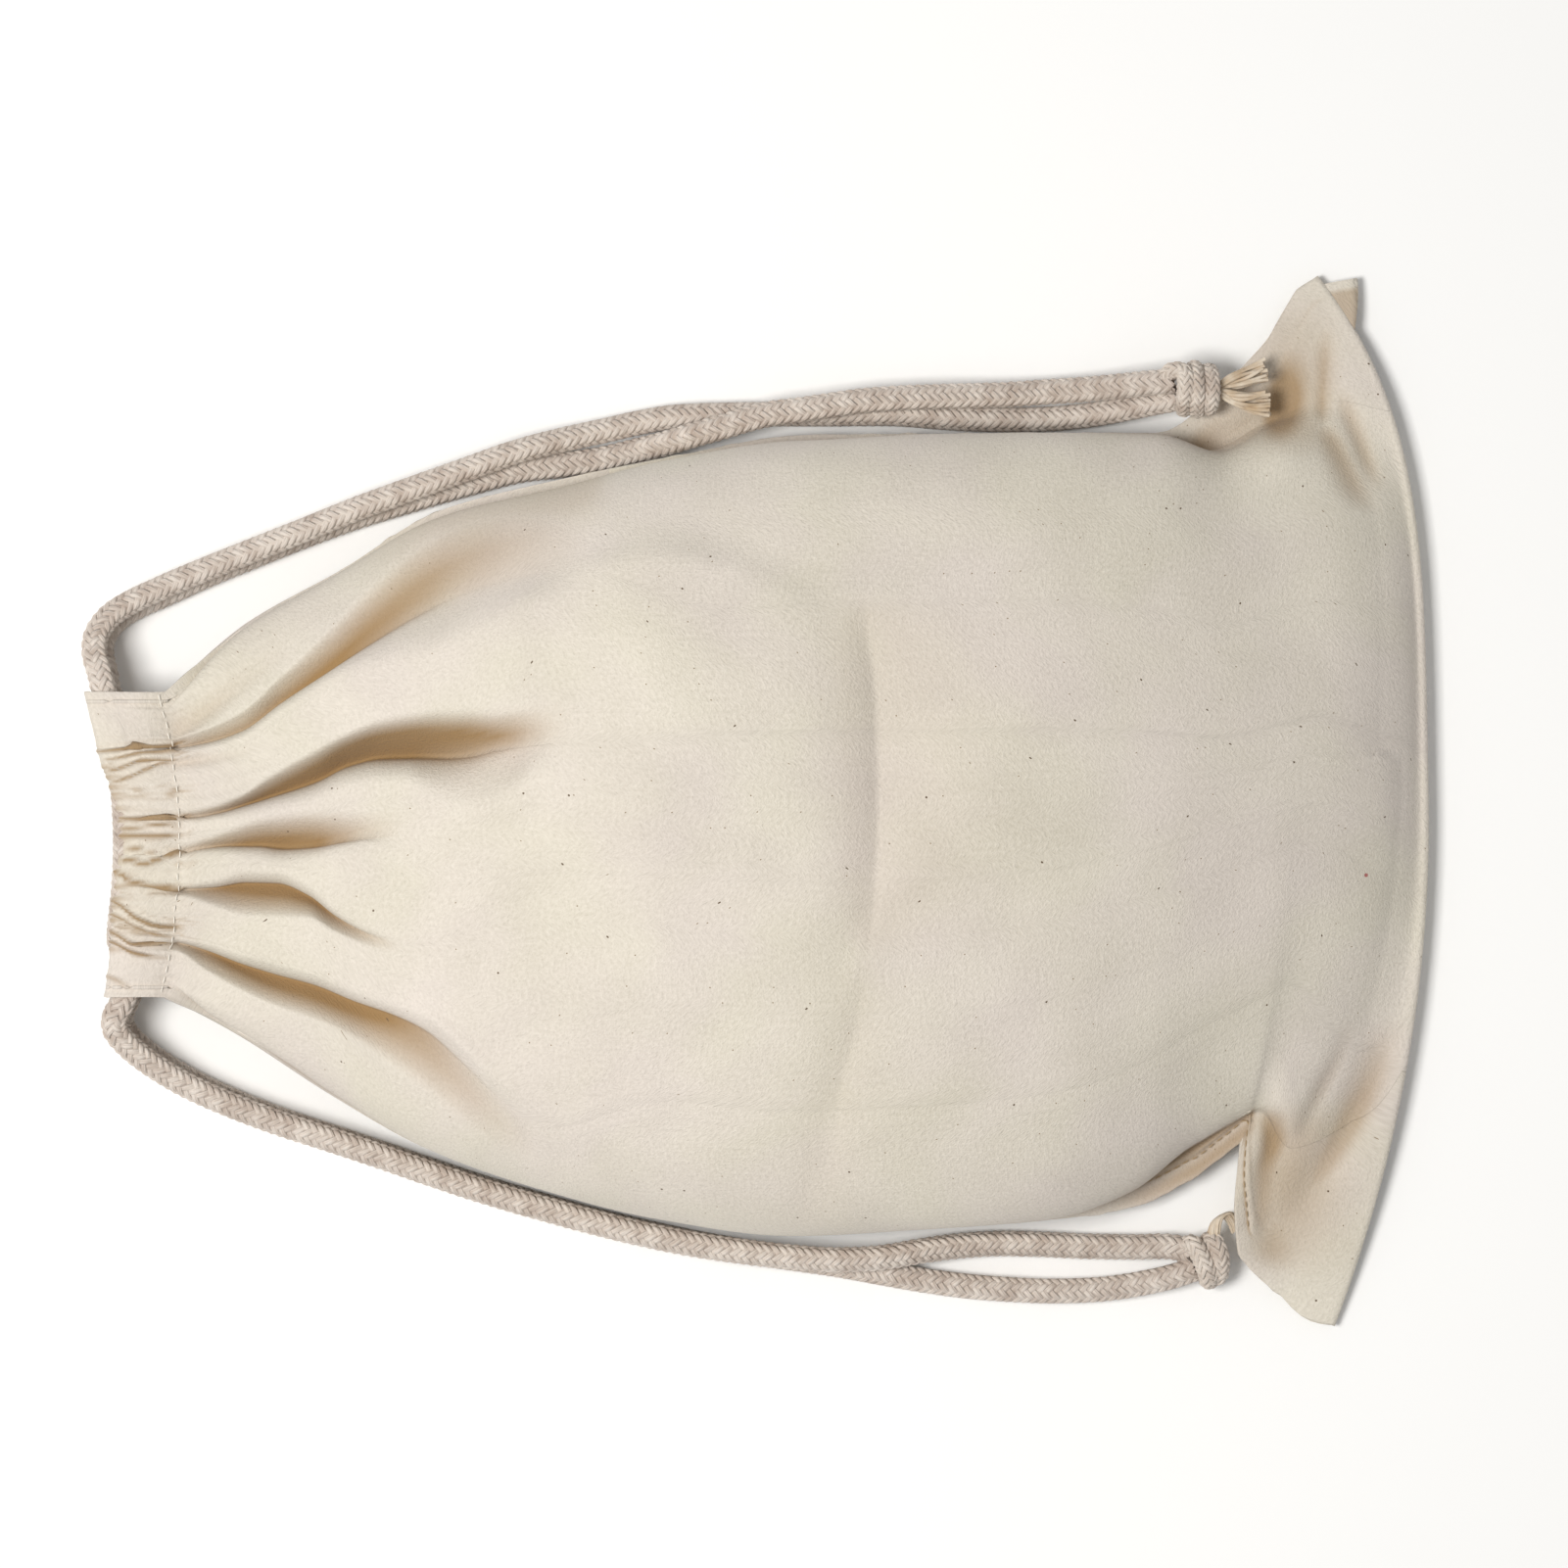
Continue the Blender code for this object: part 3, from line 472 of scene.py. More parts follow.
# %% The routes
FRONT_CHANNEL_Z = 24.9
BACK_CHANNEL_Z = 5.95
MOUTH_CORD_INSET = 18.6
INNER_CORD_INSET = 9.9
EXIT_STRAIGHT = 3.2
TURN_POINTS = 9
HELD_SPACING = 2.0
FREE_SPACING = 2.5
A_FRONT = (
    (-200.6, 38, 24.4), (-202.6, 44, 22.3), (-202.6, 50.5, 19.4), (-198.9, 56.5, 16.6),
    (-192.4, 61, 14.4), (-184.3, 64.9, 13.1), (-169.3, 71.3, 12.6), (-154.3, 77.3, 12.6),
    (-139.3, 83.2, 12.6), (-124.3, 89.3, 12.6), (-109.3, 94.8, 12.5), (-90, 101.7, 11.9),
    (-72.7, 107.8, 10.4), (-60, 111.2, 7.8), (-47, 114.2, 4.8), (-37.5, 116.4, 4.1), (-28, 118.1, 4.1),
    (-20, 118.7, 4.1), (-10, 119, 4.1), (4, 119.2, 4.1), (20, 119.2, 4.1), (43.6, 119.2, 4.1),
    (58.6, 118, 4.1), (73.6, 117.5, 4.1), (88.6, 117.7, 4.3), (103.6, 119.1, 5.8), (115.6, 121.2, 9),
    (124.2, 122.8, 12), (129, 123.6, 13.6),
)
A_BACK = (
    (-200.4, 38, 5.6), (-202, 44, 4.7), (-201.8, 50, 4.15), (-198, 55.6, 4.1), (-191.6, 59.8, 4.1),
    (-183.6, 63.4, 4.1), (-168.8, 70.1, 4.1), (-153.8, 76.2, 4.1), (-138.8, 82.2, 4.1),
    (-123.8, 87.6, 4.1), (-108.8, 92.2, 4.1), (-90, 97.6, 4.1), (-72.7, 102, 4.1), (-60, 103.5, 4.1),
    (-47, 105.6, 4.1), (-37.5, 107.9, 4.4), (-28, 110.2, 7.8), (-20, 112.5, 10.8), (-10, 115.2, 12.2),
    (-3, 117.3, 12.7), (4, 119, 12.8), (12, 120, 12.8), (20, 121.2, 12.6), (31, 122.8, 12),
    (43.6, 123.8, 11.4), (56, 124.3, 10.3), (66, 124.6, 9.2), (76, 125, 8.1), (88.6, 125.9, 7.2),
    (103.6, 126.8, 10.2), (115.6, 127.8, 14.8), (121.2, 128.3, 16.6), (127, 128.6, 17.6),
)
B_FRONT = (
    (-196.2, -64.4, 24.3), (-196.8, -69, 22), (-193.2, -74.2, 19.3), (-186.6, -79.8, 16.6),
    (-178, -85.4, 14.3), (-161.8, -93, 12.7), (-146.8, -98.6, 12.6), (-131.8, -103.4, 12.6),
    (-116.8, -108.4, 12.6), (-101.8, -113.6, 12.6), (-86.8, -118.6, 12.6), (-64.3, -125.2, 12.6),
    (-49.4, -129.2, 12.6), (-34.4, -132.8, 12.6), (-19.3, -135.8, 12.6), (-4.3, -138, 12.6),
    (10.7, -139.7, 12.6), (25.6, -140.5, 12.4), (37.6, -139.9, 11.4), (50, -138, 8.4),
    (62, -136.6, 5.2), (73, -136, 4.1), (85.6, -136.2, 4.1), (100.6, -136.8, 4.1), (115.6, -137, 5),
    (128.1, -137, 6.8), (133, -138.2, 7.4),
)
B_BACK = (
    (-195.8, -64.4, 5.2), (-195.6, -69.2, 4.4), (-191.5, -74.4, 4.1), (-185.6, -79.2, 4.1),
    (-177.4, -84.4, 4.1), (-161.6, -92.2, 4.1), (-146.8, -98, 4.1), (-131.8, -103, 4.1),
    (-116.8, -108, 4.1), (-101.8, -113.2, 4.1), (-86.8, -118.2, 4.1), (-64.3, -124.9, 4.1),
    (-49.4, -129, 4.1), (-34.4, -132.6, 4.1), (-19.3, -135.8, 4.1), (-4.3, -138.4, 4.1),
    (10.7, -140.6, 4.1), (25.6, -142.8, 4.1), (37.6, -145, 4.1), (50, -147.2, 4.1), (63, -149, 4.1),
    (78, -150.2, 4.1), (93, -150.6, 4.1), (108, -149.8, 4.1), (118, -148.2, 4.6), (129.1, -145.4, 6.6),
    (134, -143.6, 7.2),
)


def channel_x(y, inset):
    """A cord's x inside the casing, which bows with the stitch line."""
    return float(plan_x(cross_line(0), 0, np.asarray(float(y)))) - inset


def turn_back(y, side, inset):
    """The half turn from the front casing down to the back casing inside its far end."""
    radius = (FRONT_CHANNEL_Z - BACK_CHANNEL_Z) / 2
    middle = (FRONT_CHANNEL_Z + BACK_CHANNEL_Z) / 2
    turn = []
    for angle in np.linspace(0, math.pi, TURN_POINTS):
        at = y + side * radius * math.sin(angle)
        turn.append((channel_x(at, inset), at, middle + radius * math.cos(angle)))
    return turn


def held_route(out, far):
    """A cord's route in the casings: in along the front, round the far end, out along the back."""
    front = [(x, y, FRONT_CHANNEL_Z) for x, y in out]
    back = [(x, y, BACK_CHANNEL_Z) for x, y in reversed(out)]
    return smooth_route(front + far + back, HELD_SPACING)


a_out = [(channel_x(y, MOUTH_CORD_INSET), y) for y in (33.4, 22.0, 8.0, -10.0, -22.0, -32.0)]
b_out = [(-193.6, -59.9), (-190.6, -53.0)]
b_out += [(channel_x(y, INNER_CORD_INSET), y) for y in (-44.0, -30.0, -14.0, 0.0, 14.0)]
held = {
    "a": held_route(a_out, turn_back(-33.0, -1, MOUTH_CORD_INSET)),
    "b": held_route(b_out, turn_back(15.0, 1, INNER_CORD_INSET)),
}


def free_route(inside, onward):
    """A free strand: its last few millimetres in the casing, straight out, and along its table."""
    heading = (inside[0] - inside[1]) / np.linalg.norm(inside[0] - inside[1])
    start = inside[3::-1]
    return smooth_route([*start[:-1], start[-1] + heading * EXIT_STRAIGHT, *onward], FREE_SPACING)


routes = {
    "cord_a_front": free_route(held["a"], A_FRONT),
    "cord_a_back": free_route(held["a"][::-1], A_BACK),
    "cord_b_front": free_route(held["b"], B_FRONT),
    "cord_b_back": free_route(held["b"][::-1], B_BACK),
}
for name, route in routes.items():
    print(name, round(length_of(route)), "mm")

# %% The strands and the stretches in the casings
strands = {name: lay_braid(name + "_braid", route) for name, route in routes.items()}
held_cords = {
    letter: lay_braid(f"cord_{letter}_casing_braid", route[3:-3]) for letter, route in held.items()
}

# %% [markdown]
# ## Knots and frayed tails
#
# Both ends of a cord are tied together in one overhand knot, pulled tight. What shows is the cord
# wound round itself, squeezed thinner than where it lies free. Knot A shows a bulge and three wraps
# that lean a little. Knot B shows a broad band that crosses it at a slant. The same braid is laid
# along each winding, with a smaller radius. Past the knot the braid opens into its yarns.


# %% The windings
# Knot A: a bulge where the strand turns back, then three wraps that lean a little.
KNOT_A = (
    (124, 125, 13.5), (124.2, 129, 17.4), (126.2, 131.6, 19.6), (129.8, 131.4, 20.8),
    (130.4, 125.8, 21.6), (129.8, 121.6, 18.6), (130.4, 120.4, 14.6), (131.6, 124, 11.6),
    (132.8, 129.6, 11.8), (133.4, 132.6, 15.4), (133.8, 130.6, 19.6), (134.2, 126, 21.2),
    (134, 121.6, 19), (134.4, 120, 15), (135.8, 123.6, 11.8), (137, 129, 12), (137.8, 131.8, 15.4),
    (138.4, 129.8, 19.2), (138.6, 125.6, 20.4), (138.2, 121.8, 18.4), (138.2, 120.8, 14.8),
    (139, 124, 12.4),
)
# Knot B: a broad band that crosses the knot at a slant, and a second turn beside it.
KNOT_B = (
    (131.2, -140.6, 5), (131.8, -136.6, 7.8), (133.2, -135.9, 10.6), (135.4, -139, 12.4),
    (137.4, -143.8, 12), (138.4, -146.6, 9), (138.2, -146.4, 5.2), (138, -141.6, 3.2),
    (138.2, -136.8, 4.4), (138.8, -134.8, 7.8), (139.8, -135.4, 11), (141.2, -138.6, 12),
    (141.6, -142.6, 10.6), (140.8, -145.8, 7.6), (139.6, -144.8, 4.8),
)
KNOT_STEP = 0.8


def wind(name, points, **sizes):
    """The braid laid along a knot's winding."""
    return lay_braid(name, smooth_route(points, KNOT_STEP), step=KNOT_STEP, yarn=knot_yarn, **sizes)


knots = {
    "knot_a": wind("knot_a_wraps", KNOT_A, radius=2.15, pitch=16.0, rise=0.32, width=1.5, thickness=0.8),
    "knot_b": wind("knot_b_wraps", KNOT_B, radius=2.5, pitch=17.0, rise=0.34, width=1.75, thickness=0.85),
}


# %% Frayed ends
def yarn_ends(name, paths, thickness):
    """Loose yarns as thin tubes that share one mesh."""
    curve = bpy.data.curves.new(name, "CURVE")
    curve.dimensions = "3D"
    curve.bevel_depth = thickness / 2 * MM
    curve.bevel_resolution = 1
    curve.use_fill_caps = True
    for path in paths:
        spline = curve.splines.new("POLY")
        spline.points.add(len(path) - 1)
        for target, (x, y, z, girth) in zip(spline.points, path):
            target.co = (x * MM, y * MM, z * MM, 1.0)
            target.radius = girth
    curve.materials.append(tail_yarn)
    made = mesh_of(link_object(name + "_line", curve), name)
    made.data.shade_smooth()
    print(name, len(paths), "yarns")
    return made


FAN_LAYERS = 3
FAN_YARNS = 13  # in each layer
FAN_POINTS = 13  # along each yarn
FAN_ROOT = (141.6, 126.2, 17.2)
LAYER_DROP = 1.3
PARTING = 0.1  # keeps the two bunches apart, as a share of the fan's half width


def open_fan(rng):
    """Tail A: the yarns come out of the knot in two bunches, spread, and are cut off in a line."""
    paths = []
    x, y, z = FAN_ROOT
    for layer in range(FAN_LAYERS):
        for i in range(FAN_YARNS):
            spread = (i / (FAN_YARNS - 1) - 0.5) * 2 + rng.uniform(-0.11, 0.11)
            spread += PARTING if spread > PARTING / 2 else -PARTING
            reach = 14.2 - 0.8 * spread + rng.uniform(-1.2, 0.7)
            wave = rng.uniform(0, math.tau)
            bow = rng.uniform(-0.9, 0.9) - 0.9 * (spread < 0)
            path = []
            for t in np.linspace(0, 1, FAN_POINTS):
                open_up = t ** (0.8 + 0.12 * layer)
                wobble = 0.3 * math.sin(5 * t + wave) + bow * math.sin(math.pi * t)
                sag = LAYER_DROP * layer + 1.2 * t + 1.4 * t * spread * spread
                path.append((
                    x + reach * t,
                    y + spread * (1.7 + 5.8 * open_up) + 0.8 * t + wobble,
                    z - sag + 0.45 * math.cos(5 * t + wave),
                    1.0 + 0.15 * math.sin(9 * t + wave),
                ))
            paths.append(path)
    return paths


CURL_YARNS = 22
CURL_RADIUS = 2.6
GOLDEN_ANGLE = 2.4  # spreads the yarns evenly through the bunch
CURL_SPINE = (
    (139, -137.2, 9.5), (139.6, -132.6, 10.2), (141, -128.2, 9.6), (143.6, -126.9, 8.2),
    (145.6, -129, 6.6), (146.8, -132, 5.4),
)


def curled_end(rng):
    """Tail B: the yarns come up out of the knot, curl over and go under the corner of the bag."""
    spine = smooth_route(CURL_SPINE, 1.2)
    paths = []
    for i in range(CURL_YARNS):
        angle = i * GOLDEN_ANGLE
        out = CURL_RADIUS * math.sqrt((i + 0.5) / CURL_YARNS)
        wave = rng.uniform(0, math.tau)
        path = []
        for k, (x, y, z) in enumerate(spine):
            t = k / (len(spine) - 1)
            turn = angle + 0.9 * t
            near = out * (1 - 0.35 * t)
            path.append((
                x + near * math.cos(turn) * 0.8,
                y + near * math.cos(turn) * 0.4 + 0.1 * math.sin(6 * t + wave),
                z + near * math.sin(turn) * 0.9,
                1.0,
            ))
        paths.append(path)
    return paths


tails = {
    "tail_a": yarn_ends("tail_a_yarns", open_fan(random.Random(11)), thickness=1.2),
    "tail_b": yarn_ends("tail_b_yarns", curled_end(random.Random(5)), thickness=0.95),
}

# %% [markdown]
# ## The canvas
#
# Unbleached cotton canvas is a plain weave of slightly uneven yarns, nearly two a millimetre. It
# keeps the plant's own cream colour, with thicker slubs here and there and small dark flecks of
# seed husk. The pattern follows the cloth, so it reads the panel's own UV map, in which one unit is
# a metre of cloth. Shade is painted into the colour: each panel stores a painted shade at each
# point, in its folds, pleats, seams and overhangs, and the cream is darkened there towards a warm
# tan, as if light bouncing between a fold's cream walls warmed it.


# %% Unbleached plain-weave canvas
YARN_PITCH = 0.00058
STRAY = 9.0  # how far the noise shifts a yarn's wave, in radians
SLUB_STRETCHES = ((90.0, 2200.0, 1.0), (2200.0, 70.0, 1.0))  # long along one yarn, short across it
# Husk flecks: cells a metre, a fleck's radius in cells, the share of cells with none, its colour.
HUSKS = ((95.0, 0.032, 0.93, "6A5947"), (210.0, 0.045, 0.94, "8F7B62"))
RED_FIBRE = (0.1853, -0.0224, 0.027)
RED_FIBRE_RADIUS = 0.0006


def layered(tree, base, *layers):
    """Adds layers to a base, each times its weight."""
    for layer, weight in layers:
        base = calc(tree, "MULTIPLY_ADD", layer, weight, base)
    return base


def plain_weave(tree, cut):
    """A yarn passes over and under its neighbours: the product of two waves is a plain weave."""
    axes = add(tree, "ShaderNodeSeparateXYZ", {0: cut})
    uneven = noise_at(tree, cut, 700.0, 1.0)
    waves = []
    for axis in ("X", "Y"):
        turned = calc(tree, "MULTIPLY", axes[axis], math.pi / YARN_PITCH)
        waves.append(calc(tree, "SINE", calc(tree, "MULTIPLY_ADD", uneven, STRAY, turned)))
    return calc(tree, "MULTIPLY", *waves)


def with_husks(tree, cut, colour):
    """One in a few cells of a coarse grid holds a small dark speck."""
    for scale, size, share, husk in HUSKS:
        cell = add(tree, "ShaderNodeTexVoronoi", {"Vector": cut, "Scale": scale, "Randomness": 1.0},
                   voronoi_dimensions="2D")
        near = calc(tree, "LESS_THAN", cell["Distance"], size)
        pick = add(tree, "ShaderNodeSeparateXYZ", {0: cell["Color"]})[0]
        fleck = calc(tree, "MULTIPLY", near, calc(tree, "GREATER_THAN", pick, share))
        colour = between(tree, fleck, colour, husk)
    return colour


def with_red_fibre(tree, colour):
    """One reddish fibre lies near the bottom fold."""
    spot = add(tree, "ShaderNodeTexCoord")["Object"]
    away = vector_calc(tree, "SUBTRACT", spot, RED_FIBRE)
    squashed = vector_calc(tree, "MULTIPLY", away, (1.0, 1.0, 0.03))
    reach = add(tree, "ShaderNodeVectorMath", {0: squashed}, operation="LENGTH")["Value"]
    return between(tree, calc(tree, "LESS_THAN", reach, RED_FIBRE_RADIUS), colour, "B4716C")


def unbleached_canvas():
    made, tree, shader = start_material("unbleached plain-weave cotton canvas")
    cut = add(tree, "ShaderNodeUVMap", uv_map="cut")[0]
    weave = plain_weave(tree, cut)
    slubs = []
    for stretch in SLUB_STRETCHES:
        place = add(tree, "ShaderNodeMapping", {"Vector": cut, "Scale": stretch})[0]
        slubs.append(noise_at(tree, place, 1.0))
    slub = calc(tree, "ADD", *slubs)
    grain = noise_at(tree, cut, 1500.0)
    knobs = noise_at(tree, cut, 820.0, 1.0)
    height = calc(tree, "MULTIPLY", weave, 0.06)
    height = layered(tree, height, (slub, 0.3), (knobs, 1.0), (grain, 0.9))

    cloud = noise_at(tree, cut, 26.0, 3.0)
    tone = layered(tree, cloud, (slub, 0.2), (knobs, 1.0), (weave, 0.02), (grain, 0.7))
    patch = stretched(tree, noise_at(tree, cut, 17.0), 0.38, 0.62)
    dull = between(tree, patch, "CBC4B4", "CCC3B9")
    bright = between(tree, patch, "E5DED0", "E5DCD2")
    cream = between(tree, stretched(tree, tone, 1.05, 2.05), dull, bright)
    # Painted shade: the panel's stored shade darkens the cream towards tan.
    deep = add(tree, "ShaderNodeAttribute", attribute_name="painted shade")["Fac"]
    cream_with_painted_shade = between(tree, deep, cream, "9E8058")
    set_inputs(tree, shader, {
        "Base Color": with_red_fibre(tree, with_husks(tree, cut, cream_with_painted_shade)),
        "Normal": bumped(tree, height, 0.75, 0.0003),
        "Roughness": 0.92, "Specular IOR Level": 0.2, "Sheen Weight": 0.1, "Sheen Roughness": 0.6,
    })
    return made


canvas = unbleached_canvas()

# %% [markdown]
# ## The shape of a filled bag
#
# The front panel is made from cross-lines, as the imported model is, only much finer. Each cross-line
# is an arch over the filling, a tight curl down at its foot, and the flat seam flange outside it.
# At the corners the filling doesn't reach, so both layers lie flat as an ear. Folds are laid on top
# of that as valleys: each has a bottom line, a crest, a depth, a long side and a round one.

# %% Sections and valleys
LAYER_GAP = 2.1
EAR_GAP = 1.2  # how much wider that gap is in a wide ear
NARROW_EAR = 6.0
WIDENS_OVER = 20.0
FRONT_AT_SEAM = 1.15  # how far over the seam's middle each layer lies at the sewn edge
BACK_AT_SEAM = 0.15
CLOSES_BY = 1.6  # the layers have closed at one over this share of the flange
ARCH_SHARE = 0.86
CURL_SHARE = 0.93
FLOOR_SLOPE = 22.0
RESTING_LAYER = 0.75
SEAM_WIDTH = 6.0
# A wide ear runs softly into the filled body: the ear's width where that starts, and over how much
# more width it grows, for the -Y and the +Y side.
EARS_SOFTEN = {-1: (25.0, 22.0), 1: (15.0, 12.0)}
ROOT_SOFTNESS = 6.0
INNER_SHARE = 0.25  # the share of a flange's columns that lie inside the sewn edge
# The round side of a fold: its least width, its width over the depth, and how far along the fold
# it takes to grow by its own width once the fold opens out. The fold has opened after OPENING.
SHOULDER_LEAST = 1.3
SHOULDER_SHARE = 0.34
SOFTENING = 9.0
OPENING = 3.6 * SOFTENING
SHADE_LOST = 0.7  # the share of its shade that a fold loses as it opens out
CRISP, ROUND = 1.15, 2.0  # the power of a valley's profile, with a crisp or a round bottom


def side_of(line, side):
    prefix = "high_" if side > 0 else "low_"
    return {name[len(prefix):]: value for name, value in line.items() if name.startswith(prefix)}


def half_gap(ear):
    """Half the distance between the two layers' middles outside the arch's root."""
    return (LAYER_GAP + EAR_GAP * unit((ear - NARROW_EAR) / WIDENS_OVER)) / 2


def flange_share(flat, ear):
    """Spreads the flange's columns so that most of them lie on the sewn edge, where detail is."""
    edge = min(1.0, (SEAM_WIDTH + 2) / max(ear, 1.0))
    inner = flat / INNER_SHARE * (1 - edge)
    outer = 1 - edge + (flat - INNER_SHARE) / (1 - INNER_SHARE) * edge
    return np.where(flat < INNER_SHARE, inner, outer)


def closing(ear, at_seam, flat, joined):
    """How far a layer moves towards the other one over the flange."""
    return (half_gap(ear) - at_seam) * unit(flat * CLOSES_BY) * joined


def front_side(line, share, side):
    """y and z from the crest (share 0) to one side seam (share 1)."""
    end = side_of(line, side)
    outer, ear, show = end["y"], end["ear"], end["show"]
    seam = end["z"] + half_gap(ear)
    root = outer - side * ear
    wide = outer - side * show
    start, spread = EARS_SOFTEN[side]
    runs_in = unit((ear - start) / spread)
    lift = line["lift"] * (1 - runs_in)
    wide_z = seam + lift
    angle = math.pi / 2 * unit(share / ARCH_SHARE)
    power = 2 / line["full"]
    y = line["crest_y"] + (wide - line["crest_y"]) * np.sin(angle) ** min(power, 1.0)
    z = wide_z + (line["crest"] - wide_z) * unit(np.cos(angle)) ** power
    above = z - wide_z
    z = wide_z + above**3 / np.maximum(above**2 + (ROOT_SOFTNESS * runs_in) ** 2, 1e-6)
    curl = unit((share - ARCH_SHARE) / (CURL_SHARE - ARCH_SHARE))
    y = y + (root - wide) * (1 - np.cos(math.pi / 2 * curl))
    z = z - lift * curl
    flat = flange_share(unit((share - CURL_SHARE) / (1 - CURL_SHARE)), ear)
    closed = closing(ear, FRONT_AT_SEAM, flat, line["joined"])
    return y + (outer - root) * flat, z - end["droop"] * flat**2 - closed


def back_side(line, share, side):
    """y and z of the back panel from the middle (share 0) to one side seam (share 1)."""
    end = side_of(line, side)
    outer, ear = end["y"], end["ear"]
    seam = line["rest"] + (end["z"] - half_gap(ear) - line["rest"]) * line["joined"]
    y = line["crest_y"] + (outer - line["crest_y"]) * np.sin(math.pi / 2 * share)
    root = outer - side * ear
    climb = unit(1 - (root - y) * side / FLOOR_SLOPE)
    flat = unit((y - root) * side / ear)
    rise = (seam - line["rest"]) * climb**2 * (3 - 2 * climb)
    closed = closing(ear, BACK_AT_SEAM, flat, line["joined"])
    return y, line["rest"] + rise - end["droop"] * flat**2 + closed


def fold_shape(along, across, rows, soft_from):
    """How deep a fold is at each point, and how much painted shade a point has.

    A fold has one long wall, from its crest down to its bottom line. There it meets the next lobe,
    whose side is round and steep, and rounder still past soft_from, where the fold opens out. The long
    wall is the one turned away from the lamp and is painted dark; the round side is painted dark only
    at its foot.
    Rows are: place, bottom line, crest, depth.
    """
    place, bottom, crest, depth = zip(*rows)
    line = monotone(place, bottom, along)
    wall = monotone(place, crest, along) - line
    deep = np.where((along > place[0]) & (along < place[-1]), monotone(place, depth, along), 0.0)
    up = (across - line) / wall
    long_side = (1 - unit(up) ** 1.25) ** 1.1
    shoulder = np.maximum(SHOULDER_LEAST, SHOULDER_SHARE * deep)
    shoulder = shoulder * (1 + np.clip((along - soft_from) / SOFTENING, 0, 7))
    past = unit(-up * np.abs(wall) / shoulder)
    opened = unit((along - soft_from) / OPENING)
    round_side = 1 - np.sqrt(unit(1 - (1 - past) ** 2))
    round_side += opened**2 * (0.5 + 0.5 * np.cos(math.pi * past) - round_side)
    near_bottom = 1 - unit(up / 0.4)
    long_shade = unit((1.1 - up) / 0.35) * (1 - SHADE_LOST * opened * near_bottom)
    round_shade = (1 - SHADE_LOST * opened) * np.exp(-(30 - 24 * opened) * past)
    in_shade = np.where(up >= 0, long_shade, round_shade)
    return deep * np.where(up >= 0, long_side, round_side), in_shade


def soft_valley(along, across, rows, far_side, near_side, power=ROUND):
    """Depth of a shallow valley. Rows are: place, middle, depth. The sides are its half widths."""
    place, middle, depth = zip(*rows)
    off = across - monotone(place, middle, along)
    width = np.where(off > 0, far_side, near_side)
    inside = (along > place[0]) & (along < place[-1])
    deep = np.where(inside, monotone(place, depth, along), 0.0)
    return deep * np.exp(-(np.abs(off / width) ** power))


# %% The gathers that run out of the casing
# Each row is a place along x, the y of the fold's bottom line, the y of its crest and its depth.
GATHERS = {
    "top flank": (
        (-184, 16.4, 17.6, 1.5), (-180, 16.2, 18.6, 3.3), (-170, 17.6, 21.5, 5.4),
        (-157, 21.6, 27.5, 6.9), (-145, 30, 38, 8.4), (-128, 40.8, 54, 10.2), (-118, 47.2, 65, 11),
        (-103, 56, 80, 10.5), (-88, 63, 90, 8), (-70, 68, 97, 4), (-50, 72, 100, 0),
    ),
    "deepest": (
        (-184, -5.2, -4, 1.6), (-172, -4.8, -2.8, 4.4), (-164, -3.4, -0.8, 7), (-157, -1.4, 2, 9.4),
        (-148, 1.4, 7.7, 12.3), (-134, 6, 15.5, 16.9), (-124, 10.8, 20.6, 20.2),
        (-114, 12.9, 24.4, 21.4), (-102, 13.1, 26.6, 21.6), (-94, 13, 27.2, 20.5),
        (-86, 13.6, 27.4, 18), (-79, 15.2, 27, 13.5), (-72, 16.2, 28, 9.2), (-66, 17, 29.2, 4.6),
        (-60, 17.6, 30.2, 1.2), (-55, 18, 30.6, 0),
    ),
    "middle": (
        (-184, -17.2, -16, 1.6), (-176, -15.8, -13.6, 3.4), (-168, -14.2, -11, 6),
        (-161, -13.6, -8.6, 8.6), (-152, -13.6, -5.6, 11.2), (-144, -14.4, -4, 12.2),
        (-135, -13.9, -2.9, 11.2), (-126, -12.4, -2.9, 7.3), (-116, -10.8, -2.6, 2.9),
        (-106, -9.4, -2.4, 0),
    ),
    "below the middle": (
        (-186, -25.6, -26.8, 1.6), (-175, -26.6, -28.6, 4.2), (-166, -26.2, -31.4, 8.1),
        (-156, -24.7, -34.4, 11.7), (-146, -24.9, -34.8, 12.7), (-136, -28.6, -34.9, 11.4),
        (-128, -34.4, -39, 8.3), (-120, -38.6, -42.4, 4.7), (-108, -43, -46.4, 0),
    ),
    "low side": (
        (-184, -41.8, -43.2, 1.8), (-176, -43.2, -46, 4.9), (-168, -45.6, -51.5, 8.6),
        (-158, -49.4, -57, 11.4), (-148, -52.4, -61.5, 13), (-134, -56, -66, 13.5),
        (-122, -60.6, -71.5, 12.2), (-110, -64.4, -80, 9.9), (-100, -69, -88, 8.2),
        (-90, -77.4, -97, 5.6), (-78, -89, -106, 2.4), (-66, -99, -112, 0),
    ),
}
# Where along x each fold starts to open out.
OPENS_OUT = {"top flank": -126, "deepest": -104, "middle": -124, "below the middle": -124, "low side": -112}
